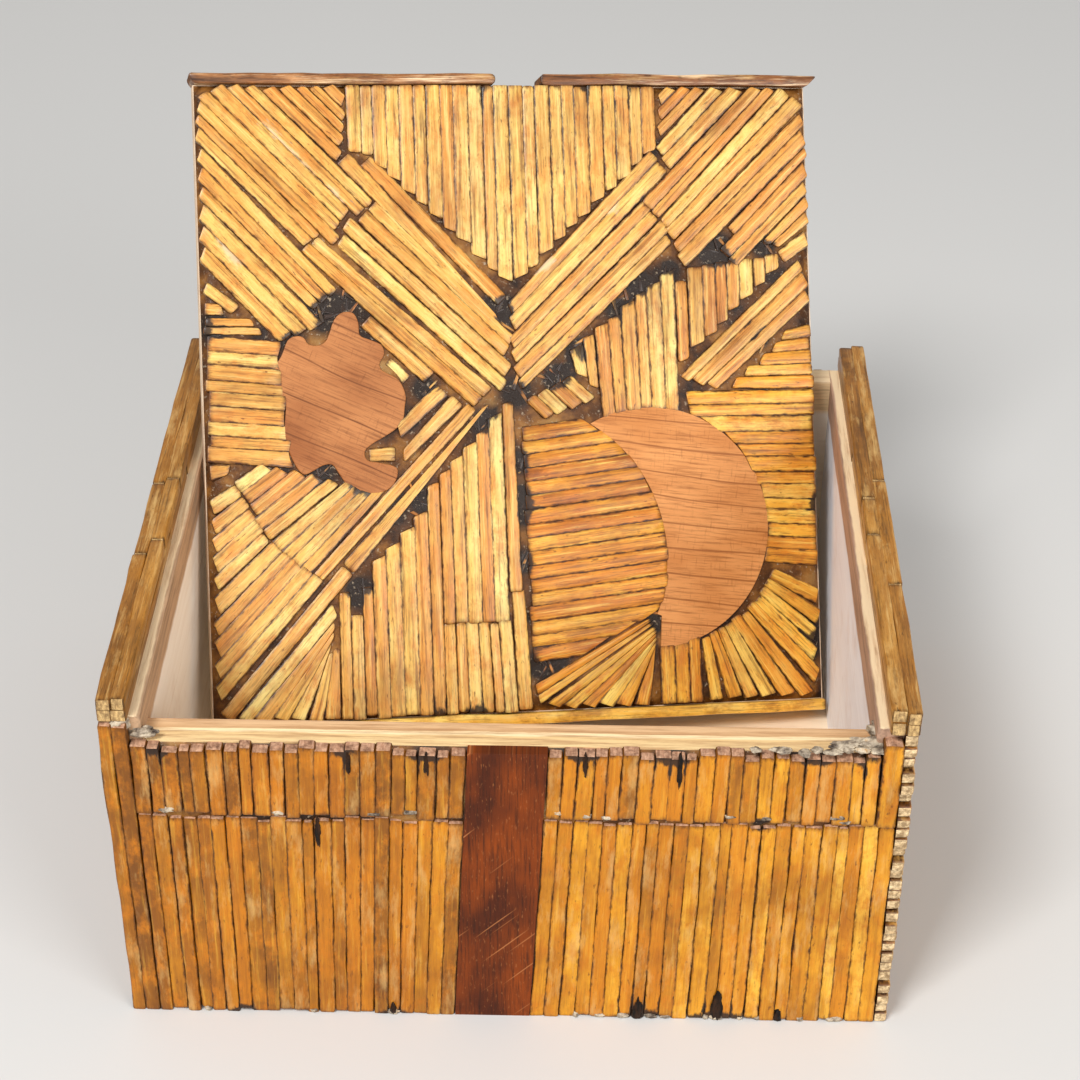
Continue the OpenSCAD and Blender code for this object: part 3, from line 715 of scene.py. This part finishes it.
for name, side in (("left_rim", -1), ("right_rim", 1)):
    lo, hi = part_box(name)
    dice = random.Random(70 + side)
    wide, tall = (hi.x - lo.x) / RIM_ROWS, (hi.z - lo.z) / RIM_LAYERS
    sticks = []
    for row in range(RIM_ROWS):
        for layer in range(RIM_LAYERS):
            x0, z0 = lo.x + row * wide, lo.z + layer * tall
            trim = dice.uniform(0, 0.8) * MM
            front_cut = lo.y + dice.uniform(34, 52) * MM
            back_cut = hi.y - dice.uniform(34, 52) * MM
            cuts = [lo.y + trim, front_cut, back_cut, hi.y - trim]
            for y0, y1 in zip(cuts, cuts[1:]):
                sticks.append(block(x0, x0 + wide, y0 + RIM_JOINT, y1, z0, z0 + tall))
    # The rim sticks get a smaller share of painted shade and grime along their edges and in their joints.
    dressed("dressed_" + name, sticks, TALL, "box", "rim_sticks", rim_wood, rim_end, (0.2, 0.8), 80 + side,
            (name,), shade_and_grime_share=0.72, swell=1.07, longer=0.0, stagger=0.1 * MM, bow=0.2 * MM, rise=0.25 * MM,
            corner=0.6 * MM, edge=0.3 * MM)

# %% [markdown]
# The strips along the lid's top and bottom edges are longer slats. The two on top are brown and
# cracked, and the one below is golden. They are whittled like the sticks.

# %% The strips at the lid's edges
BROWN_TONES = [(74, 38, 16), (122, 74, 38), (172, 116, 68), (214, 160, 108), (250, 216, 172)]
GOLD_TONES = [(158, 94, 20), (206, 134, 36), (236, 164, 52), (248, 188, 72), (254, 216, 114)]
strip_wood = stick_finish("brown_strip_wood", BROWN_TONES, (150, 92, 44), (44, 22, 10), haze=0.5, grainy=1.3)
gold_wood = stick_finish("golden_strip_wood", GOLD_TONES, (176, 110, 30), (84, 46, 14), haze=0.4)
STRIPS = [("lid_top_strip_left", "brown_strip", strip_wood, (0.3, 0.4)),
          ("lid_top_strip_right", "brown_strip", strip_wood, (0.05, 0.15)),
          ("lid_bottom_strip", "gold_strip", gold_wood, (0.75, 0.85))]
for number, (node, slot, wood, tones) in enumerate(STRIPS):
    # The strips get a smaller share of painted shade and grime along their edges and in their joints.
    dressed("dressed_" + node, separate_sticks(nodes[node].data), LID_FACE, "lid", slot, wood, lid_end,
            tones, 60 + number, (node,), shade_and_grime_share=0.55, swell=1.0, longer=0.0, bow=0.25 * MM, corner=0.8 * MM)

# %% [markdown]
# Between the sticks lies the glue they were set in: dark brown in uneven patches, paler in some,
# with specks of grey dust. It is a skin over each board, made as a grid of points that a noise
# lifts, with its rim pressed down to the board. Near a sooty place it is black.

# %% The glue between the sticks
GLUE_CELL, GLUE_LIFT, GLUE_WAVE = 1.5 * MM, 1.5 * MM, 0.35 * MM
GLUE_LEAST, GLUE_RIM, GLUE_INSET = 0.2 * MM, 0.03 * MM, 0.3 * MM


def glue_finish():
    """Old glue: brown-black, with paler patches and specks of grey dust."""
    made, tree, shader = finish("old_glue", 0.45, Coat_Weight=0.12, Coat_Roughness=0.3, Specular_IOR_Level=0.2)
    where = object_place(tree)
    patches = stretched(tree, where, (120.0, 120.0, 120.0), 4.0, 0.6)
    crumbs = stretched(tree, where, (1400.0, 1400.0, 1400.0), 3.0, 0.6)
    soot = add(tree, "Attribute", attribute_name="soot").outputs["Fac"]
    base = ramp(tree, patches, (0.36, screen(40, 22, 8)), (0.5, screen(92, 54, 18)),
                (0.6, screen(140, 92, 38)), (0.72, screen(176, 134, 76)))
    ragged = math_step(tree, "ADD", soot, centred(tree, patches, 0.8))
    black = tinted(tree, base, screen(40, 28, 20), ragged, (0.1, 0.0), (0.45, 1.0))
    dusty = tinted(tree, black, screen(178, 158, 132), crumbs, (0.6, 0.0), (0.72, 0.75))
    tree.links.new(dusty, shader.inputs["Base Color"])
    bumped(tree, shader, crumbs, 0.25 * MM)
    return made


glue = glue_finish()


def glue_skin(name, body, slot, corner, along, up, width, height, seed, sooty):
    """A skin of glue over a rectangle of board. Its outside is along x up."""
    out = along.cross(up).normalized()
    columns, rows = round(width / GLUE_CELL), round(height / GLUE_CELL)
    points, faces = [], []
    for j in range(rows + 1):
        for i in range(columns + 1):
            spot = corner + along * (width * i / columns) + up * (height * j / rows)
            rim = i in (0, columns) or j in (0, rows)
            wave = noise.noise(spot * 260 + Vector((seed, 0, 0))) + 0.6 * noise.noise(spot * 900)
            points.append(spot + out * (GLUE_RIM if rim else max(GLUE_LEAST, GLUE_LIFT + GLUE_WAVE * wave)))
    for j in range(rows):
        for i in range(columns):
            a = j * (columns + 1) + i
            faces.append((a, a + 1, a + columns + 2, a + columns + 1))
    mesh = new_piece(name, points, faces, body, slot, [glue]).data
    layer = mesh.attributes.new("soot", "FLOAT", "POINT")
    layer.data.foreach_set("value", [soot_at(p, sooty) for p in points])
    print(name, len(faces), "faces")


glue_skin("lid_glue", "lid", "lid_sticks", on_lid(0.15, 0.15), lid_x, lid_y,
          (lid_hi.x - lid_lo.x) * 0.997, (lid_hi.y - lid_lo.y) * 0.997, 3, LID_SOOT)
for name, node, laid in (("front_glue", "front_board", FRONT), ("back_glue", "back_board", BACK),
                         ("left_glue", "left_board", LEFT), ("right_glue", "right_board", RIGHT)):
    lo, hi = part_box(node)
    along = TALL.cross(laid)
    inward = along + TALL - laid
    corner = Vector([lo[i] if inward[i] > 0 else hi[i] for i in range(3)])
    glue_skin(name, "box", "side_sticks", corner + TALL * GLUE_INSET, along, TALL,
              abs(hi.dot(along) - lo.dot(along)), hi.z - lo.z - 2 * GLUE_INSET, 7, FRONT_SOOT)

# %% [markdown]
# Where the fields meet, the maker pushed splinters and broken matches into the wet glue, and the
# soot has settled among them. Each sooty place gets a handful of tapered slivers lying every way.

# %% Splinters in the joints
SLIVER_WAYS = [math.radians(a) for a in (45, -45, 90)]


def sliver(centre, direction, length, width, low, high):
    """A thin block that lies on the lid and is narrower at one end."""
    side = LID_FACE.cross(direction)
    points = []
    for end, half in ((-0.5, width * 0.5), (0.5, width * 0.2)):
        for turn in (-1, 1):
            for up in (low, high):
                points.append(centre + direction * length * end + side * half * turn + LID_FACE * up)
    return points, BLOCK_FACES


dice = random.Random(33)
slivers = []
for u, v, r in SOOT:
    for i in range(round(r * 1.8)):
        spread, angle = dice.uniform(0, 0.75) * r, dice.uniform(0, math.tau)
        place = (u + spread * math.cos(angle), v + spread * math.sin(angle))
        if not (2 < place[0] < 98 and 2 < place[1] < 98):
            continue
        angle = dice.choice(SLIVER_WAYS) + dice.gauss(0, 0.35)
        slivers.append(sliver(on_lid(*place), lid_x * math.cos(angle) + lid_y * math.sin(angle),
                              dice.uniform(1.6, 4.5) * MM, dice.uniform(0.4, 1.0) * MM, 0.5 * MM,
                              dice.uniform(1.4, 1.85) * MM))
dressed("joint_splinters", slivers, LID_FACE, "lid", "lid_sticks", lid_wood, lid_end, (0.0, 0.6), 91,
        sooty=LID_SOOT, kept=kept_on_lid, swell=1.0, longer=0.0, corner=0.1 * MM, edge=0.12 * MM)

# %% [markdown]
# Grey glue was smeared thick where the rims meet the front, in dabs along the top of the front,
# and in chips along the joint of the two rows and at the foot. Each lump is a ball of faces pushed
# about by a noise and pressed flat, and rough enough to catch the light in grains.

# %% Lumps of grey glue
def crust_finish(name, scale, rough, stops, depth, roughness, **sockets):
    """A crust whose colours and bumps both follow one noise."""
    made, tree, shader = finish(name, roughness, **sockets)
    crust = stretched(tree, object_place(tree), scale, 4.0, rough)
    tree.links.new(ramp(tree, crust, *[(p, screen(*c)) for p, c in stops]), shader.inputs["Base Color"])
    bumped(tree, shader, crust, depth)
    return made


def form_parts(form):
    """The points and faces of a bmesh, which is then freed."""
    form.verts.index_update()
    points = [v.co.copy() for v in form.verts]
    faces = [[v.index for v in face.verts] for face in form.faces]
    form.free()
    return points, faces


def lump(name, centre, radii, seed, skin):
    """A pressed lump with a bumpy skin, at a place in millimetres, kept above the table."""
    form = bmesh.new()
    bmesh.ops.create_icosphere(form, subdivisions=4 if max(radii) > 1.7 else 3, radius=1.0)
    for vert in form.verts:
        swollen = 1 + 0.45 * noise.noise(vert.co * 1.7 + Vector((seed, 0, 0))) + 0.2 * noise.noise(vert.co * 5)
        vert.co = Vector(centre) * MM + Vector(a * b * swollen * MM for a, b in zip(vert.co, radii))
        vert.co.z = max(vert.co.z, 0.1 * MM)
    new_piece(name, *form_parts(form), "box", "front_sticks", [skin])


lump_skin = crust_finish("grey_glue", (500.0, 500.0, 500.0), 0.65,
                         [(0.34, (66, 52, 40)), (0.47, (150, 134, 114)), (0.6, (206, 190, 164)),
                          (0.72, (178, 136, 86))], 0.5 * MM, 0.6, Coat_Weight=0.1, Coat_Roughness=0.4)
LUMPS = [("glue_right_corner", (60.2, 1.2, 60.2), (2.6, 1.8, 1.4)),
         ("glue_right_front", (57.5, -2.4, 60.3), (3.4, 1.2, 0.9)),
         ("glue_right_end", (53.6, -3.0, 60.4), (2.6, 1.0, 0.6)),
         ("glue_left_corner", (-61.8, -2.8, 62.8), (1.9, 1.6, 1.8)),
         ("glue_left_wall", (-58.2, -2.6, 60.6), (2.4, 1.0, 0.8)),
         ("glue_left_edge", (-63.4, -3.6, 58), (0.8, 1.0, 2.6)),
         ("glue_right_rim", (62.6, -1.5, 62.4), (1.2, 0.9, 2.2)),
         ("glue_left_rim", (-63.2, -1.4, 63.8), (1.5, 1.0, 2.0))]
JOINT_PARTS = (-60, -12), (8, 57)
FOOT_PARTS = (-58, -12), (8, 57), (18, 40)
dice = random.Random(14)
for i in range(9):
    x, y = 59 - i * 2.3 - dice.uniform(0, 1.5), -4.3 + dice.uniform(-0.5, 0.7)
    LUMPS.append((f"glue_dab_{i}", (x, y, 60.2),
                  (dice.uniform(0.8, 1.6), dice.uniform(0.4, 0.9), dice.uniform(0.3, 0.6))))
for i in range(12):
    x = dice.choice([dice.uniform(*part) for part in JOINT_PARTS])
    LUMPS.append((f"joint_chip_{i}", (x, -4.6, 46.2 + dice.uniform(-0.5, 0.6)),
                  (dice.uniform(0.5, 1.3), 0.5, dice.uniform(0.3, 0.7))))
for i in range(16):
    x = dice.choice([dice.uniform(*part) for part in FOOT_PARTS])
    LUMPS.append((f"foot_chip_{i}", (x, -4.6, 0.5), (dice.uniform(0.4, 1.2), 0.5, dice.uniform(0.3, 0.6))))
for number, (name, centre, radii) in enumerate(LUMPS):
    lump(name, centre, radii, number * 3, lump_skin)
print(len(slivers), "splinters and", len(LUMPS), "lumps of glue")

# %% [markdown]
# A few gaps between the front sticks are burnt black, widest at the foot. Each is a thin upright
# lump of char in the gap, at a place across and up, with its half width and half height.

# %% Charred gaps
char_skin = crust_finish("charred_gap", (900.0, 900.0, 300.0), 0.6,
                         [(0.4, (12, 8, 5)), (0.62, (52, 30, 14))], 0.3 * MM, 0.5,
                         Coat_Weight=0.05, Specular_IOR_Level=0.15)
CHARS = [(22, 2.2, 0.8, 3.0), (35.6, 2.8, 0.9, 4.0), (12.4, 57, 0.45, 2.2), (27.4, 56, 0.5, 3.4),
         (-13, 56.6, 0.4, 2.4), (-25.4, 56.8, 0.4, 2.2), (-31, 42, 0.5, 2.8), (46, 1.2, 0.6, 1.6),
         (-20, 1.2, 0.5, 1.4)]
for number, (x, z, wide, tall) in enumerate(CHARS):
    lump(f"charred_gap_{number}", (x, -4.85, z), (wide, 0.4, tall), 50 + number * 2, char_skin)
print(len(CHARS), "charred gaps")

# %% [markdown]
# The boards are plywood with a pale wash on the inside, worn back to bare wood along the top,
# where the outer ply is cream. A mask built from the place of a point tells which part is which,
# so one finish serves them all. The floor and the lid's board have no such band.

# %% The boards
WASH_TOP = 56.8 * MM
BOARD_FIBRES = (55.0, 900.0, 900.0), 5.0, 0.7
BOARD_FIGURE = (9.0, 130.0, 130.0), 4.0, 0.6
BOARD_SMEARS = (60.0, 60.0, 60.0), 4.0, 0.6


def crest_wood(tree, height, depth, fibres, smears, bare, crest, inner):
    """How far the wash is worn off, and the bare wood below it, with a cream outer ply on the crest."""
    ragged = centred(tree, smears, 3.0 * MM)
    worn = between(tree, math_step(tree, "ADD", height, ragged), WASH_TOP, WASH_TOP + 1.0 * MM)
    raw = tinted(tree, screen(*bare), screen(*[c * 0.72 for c in bare]), fibres, (0.35, 0.8), (0.55, 0.0))
    cream = tinted(tree, screen(246, 220, 178), screen(190, 148, 104), fibres, (0.33, 0.7), (0.5, 0.0))
    torn = math_step(tree, "ADD", height, centred(tree, fibres, 1.2 * MM))
    on_crest = between(tree, torn, crest - 0.35 * MM, crest - 0.15 * MM)
    from_middle = math_step(tree, "ABSOLUTE", depth)
    from_middle = math_step(tree, "ADD", from_middle, math_step(tree, "MULTIPLY", ragged, 0.5))
    outside = between(tree, from_middle, inner, inner + 0.3 * MM)
    return worn, mix(tree, math_step(tree, "MULTIPLY", on_crest, outside), raw, cream)


def board_finish(name, pale, shade, bare, axes, crest=None, inner=0.0):
    """Washed wood with its grain along the first of three directions, bare in a band along the top."""
    made, tree, shader = finish(name, 0.75)
    where = object_place(tree)
    along, depth, up = measured(tree, where, axes)
    place = add(tree, "CombineXYZ", {0: along, 1: depth, 2: up}).outputs[0]
    fibres = stretched(tree, place, *BOARD_FIBRES)
    smears = stretched(tree, where, *BOARD_SMEARS)
    washed = tinted(tree, screen(*pale), screen(*shade), stretched(tree, place, *BOARD_FIGURE),
                    (0.4, 0.0), (0.65, 0.55))
    washed = tinted(tree, washed, screen(*shade), fibres, (0.35, 0.4), (0.5, 0.0))
    washed = tinted(tree, washed, screen(*bare), smears, (0.58, 0.0), (0.8, 0.35))
    if crest:
        worn, wood = crest_wood(tree, split(tree, where)[2], depth, fibres, smears, bare, crest, inner)
        washed = mix(tree, worn, washed, wood)
    tree.links.new(washed, shader.inputs["Base Color"])
    bumped(tree, shader, fibres, 0.12 * MM)
    return made


def give(node, skin):
    """One finish for the whole of a node that stays as it is."""
    nodes[node].data.materials.clear()
    nodes[node].data.materials.append(skin)


side_top, back_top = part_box("left_board")[1].z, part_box("back_board")[1].z
rim_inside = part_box("right_rim")[0].x - 1.7 * MM
SIDE_AXES, BACK_AXES = (DEEP, ACROSS, TALL), (ACROSS, DEEP, TALL)
WASHES = {
    "left_board": board_finish("washed_left", (255, 246, 230), (236, 220, 198), (196, 158, 122),
                               SIDE_AXES, side_top, rim_inside),
    "right_board": board_finish("washed_right", (244, 246, 252), (228, 228, 234), (186, 148, 122),
                                SIDE_AXES, side_top, rim_inside),
    "back_board": board_finish("washed_back", (248, 238, 220), (232, 214, 194), (240, 210, 162),
                               BACK_AXES, back_top),
    "bottom_board": board_finish("washed_floor", (246, 228, 200), (222, 194, 160), (214, 180, 140),
                                 BACK_AXES),
    "lid_board": board_finish("bare_lid_board", (232, 206, 176), (204, 168, 134), (188, 148, 118),
                              (lid_x, lid_y, LID_FACE)),
}
for node, wash in WASHES.items():
    give(node, wash)
print("boards washed:", list(WASHES))

# %% [markdown]
# The front board shows its plies on top: rough cream outside, a bright line, and tan inside. Bands
# by depth give them, and a stretched noise gives the torn fibres.

# %% The front board's plies
def ply_finish(outside, inside):
    """Plywood seen from its edge, from its outer face to its inner one, with the pale wash below."""
    made, tree, shader = finish("front_plies", 0.75)
    where = object_place(tree)
    across, depth, height = split(tree, where)
    fibres = stretched(tree, where, (70.0, 1500.0, 1200.0), 5.0, 0.7)
    smears = stretched(tree, where, (80.0, 200.0, 200.0), 4.0, 0.6)
    wavy = math_step(tree, "ADD", depth, centred(tree, smears, 1.2 * MM))
    plies = ramp(tree, between(tree, wavy, outside, inside),
                 (0.0, screen(238, 206, 150)), (0.42, screen(232, 196, 138)), (0.47, screen(250, 224, 176)),
                 (0.58, screen(250, 222, 172)), (0.62, screen(206, 160, 112)), (0.8, screen(226, 184, 136)),
                 (1.0, screen(214, 172, 128)))
    torn = tinted(tree, plies, screen(176, 128, 84), fibres, (0.36, 0.75), (0.55, 0.0))
    wash = tinted(tree, screen(222, 205, 188), screen(190, 166, 146), fibres, (0.35, 0.5), (0.52, 0.0))
    bare = between(tree, height, WASH_TOP, WASH_TOP + 0.8 * MM)
    tree.links.new(mix(tree, bare, wash, torn), shader.inputs["Base Color"])
    bumped(tree, shader, fibres, 0.2 * MM)
    return made


lo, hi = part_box("front_board")
give("front_board", ply_finish(lo.y, hi.y))
print("the front board is", round((hi.y - lo.y) / MM, 2), "mm thick, from", round(lo.y / MM, 2))

# %% [markdown]
# The crescent and the leaf are cut from pale red-brown veneers: straight fine grain, growth lines
# every few millimetres, and short dark flecks across them. The panel on the front is darker, with
# its grain upright and no growth lines, and it has collected scratches and pale dashes.

# %% Veneers
def growth_lines(tree, base, flat_place, across, rings, line):
    """Short flecks across the grain, and a thin line for every year."""
    flecks = stretched(tree, flat_place, (2200.0, 300.0, 1.0), 3.0, 0.6)
    base = tinted(tree, base, line, flecks, (0.3, 0.35), (0.42, 0.0))
    growth = stretched(tree, flat_place, (18.0, 60.0, 1.0), 2.0, 0.4)
    years = math_step(tree, "ADD", math_step(tree, "MULTIPLY", across, rings),
                      math_step(tree, "MULTIPLY", growth, 1.1))
    ring = math_step(tree, "ABSOLUTE", math_step(tree, "SUBTRACT", math_step(tree, "FRACT", years), 0.5))
    from_ring = math_step(tree, "DIVIDE", ring, rings * MM)
    return tinted(tree, base, line, from_ring, (0.0, 0.8), (0.12, 0.6), (0.2, 0.0))


def scratches(tree, base, flat_place, along, across, scratch):
    """Slanting scratches, and short pale dashes along the grain."""
    slant = add(tree, "CombineXYZ", {0: math_step(tree, "ADD", along, across),
                                     1: math_step(tree, "SUBTRACT", along, across)}).outputs[0]
    marks = stretched(tree, slant, (26.0, 900.0, 1.0), 1.0, 0.3)
    base = tinted(tree, base, scratch, marks, (0.7, 0.0), (0.74, 0.7))
    dashes = stretched(tree, flat_place, (700.0, 2800.0, 1.0), 2.0, 0.5)
    return tinted(tree, base, scratch, dashes, (0.62, 0.0), (0.74, 0.4))


def veneer_finish(name, pale, deep, line, axes, rings=None, scratch=None):
    """Veneer with its grain along the first of two directions, and so many rings to a metre."""
    made, tree, shader = finish(name, 0.5, Coat_Weight=0.06, Coat_Roughness=0.35, Specular_IOR_Level=0.2)
    along, across = measured(tree, object_place(tree), axes)
    flat_place = add(tree, "CombineXYZ", {0: along, 1: across}).outputs[0]
    fibres = stretched(tree, flat_place, (120.0, 2400.0, 1.0), 5.0, 0.7)
    cloud = stretched(tree, flat_place, (60.0, 110.0, 1.0), 3.0, 0.5)
    base = tinted(tree, screen(*pale), screen(*deep), cloud, (0.35, 0.0), (0.65, 1.0))
    base = tinted(tree, base, screen(*line), fibres, (0.35, 0.65), (0.52, 0.0))
    if rings:
        base = growth_lines(tree, base, flat_place, across, rings, screen(*line))
    if scratch:
        base = scratches(tree, base, flat_place, along, across, screen(*scratch))
    tree.links.new(base, shader.inputs["Base Color"])
    bumped(tree, shader, fibres, 0.05 * MM)
    return made


def turned(angle):
    """Two directions on the lid's face, turned by an angle in degrees."""
    c, s = math.cos(math.radians(angle)), math.sin(math.radians(angle))
    return lid_x * c + lid_y * s, lid_y * c - lid_x * s


crescent = veneer_finish("crescent_veneer", (224, 154, 90), (200, 128, 66), (140, 78, 32), turned(-7),
                         rings=210.0)
leaf = veneer_finish("leaf_veneer", (194, 128, 76), (160, 96, 52), (110, 60, 28), turned(-24), rings=130.0)
panel = veneer_finish("panel_veneer", (140, 60, 0), (78, 28, 0), (24, 8, 0), (TALL, ACROSS),
                      scratch=(184, 116, 66))
give("lid_crescent", crescent)
give("front_panel", panel)
print("veneers:", [m.name for m in (crescent, leaf, panel)])

# %% [markdown]
# The leaf was sawn by hand, with a wavier edge than the solid has. Its outline is a closed line of
# places on the lid, in hundredths, rounded off by a smooth curve through them. The notch at its
# lower right holds a short stick. The leaf is then given the solid's own thickness and a worn edge.

# %% The leaf
LEAF_EDGE = [(21, 63), (22.3, 64.1), (24, 64), (24.8, 62.5), (25, 60.5), (26.5, 59.8), (28.3, 59),
             (28.8, 57.5), (28, 56), (28.3, 55), (29, 54.5), (31, 53.3), (32, 51), (31.8, 49), (31.5, 47),
             (30.5, 45.8), (28.5, 44.5), (26.5, 43.4), (25.2, 42.2), (25.6, 40.8), (27.5, 40.4),
             (30.2, 39.5), (30, 37.5), (28.5, 36), (26, 35.3), (24, 35.6), (22.5, 36.5), (21, 38.8),
             (20, 40.2), (18.6, 40.2), (17, 39.4), (15.5, 38.8), (14.3, 40), (13, 43), (12.6, 46),
             (12.8, 50), (11, 53), (11.3, 55.5), (12.5, 57.5), (13.5, 59.8), (14.8, 60.5), (16, 60.3),
             (16.8, 59.2), (18.3, 59), (19.5, 59.6), (20.2, 61)]


def smooth_loop(corners, steps=4):
    """A closed curve through every corner, as more points."""
    spots = [Vector(c) for c in corners]
    out = []
    for i in range(len(spots)):
        a, b, c, d = (spots[(i + k - 1) % len(spots)] for k in range(4))
        for k in range(steps):
            t = k / steps
            out.append(0.5 * (2 * b + (c - a) * t + (2 * a - 5 * b + 4 * c - d) * t ** 2
                              + (3 * b - a - 3 * c + d) * t ** 3))
    return out


def inlay(name, outline, node, slot, skin):
    """A flat inlay from an outline on the lid, as thick as the node that it stands in for."""
    depths = [(lid_axes.transposed() @ v.co).z - lid_hi.z for v in nodes[node].data.vertices]
    form = bmesh.new()
    face = form.faces.new([form.verts.new(on_lid(p.x, p.y, min(depths))) for p in outline])
    if face.normal.dot(LID_FACE) < 0:
        face.normal_flip()
    raised = bmesh.ops.extrude_face_region(form, geom=[face])["geom"]
    lifted = [g for g in raised if isinstance(g, bmesh.types.BMVert)]
    bmesh.ops.translate(form, verts=lifted, vec=LID_FACE * (max(depths) - min(depths)))
    top = [e for e in form.edges if all(v in lifted for v in e.verts)]
    bmesh.ops.bevel(form, geom=top, offset=0.2 * MM, segments=2, profile=0.5, affect="EDGES")
    bmesh.ops.recalc_face_normals(form, faces=form.faces)
    new_piece(name, *form_parts(form), "lid", slot, [skin], (node,), smooth=False)
    print(name, "is", round((max(depths) - min(depths)) / MM, 2), "mm thick")


inlay("leaf_inlay", smooth_loop(LEAF_EDGE), "lid_leaf", "light_veneer", leaf)

# %% [markdown]
# The last cell prints how big the dressed box is.

# %% Sizes, and the end
lo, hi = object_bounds()
print("dressed size in mm:", [round(v / MM, 2) for v in hi - lo])
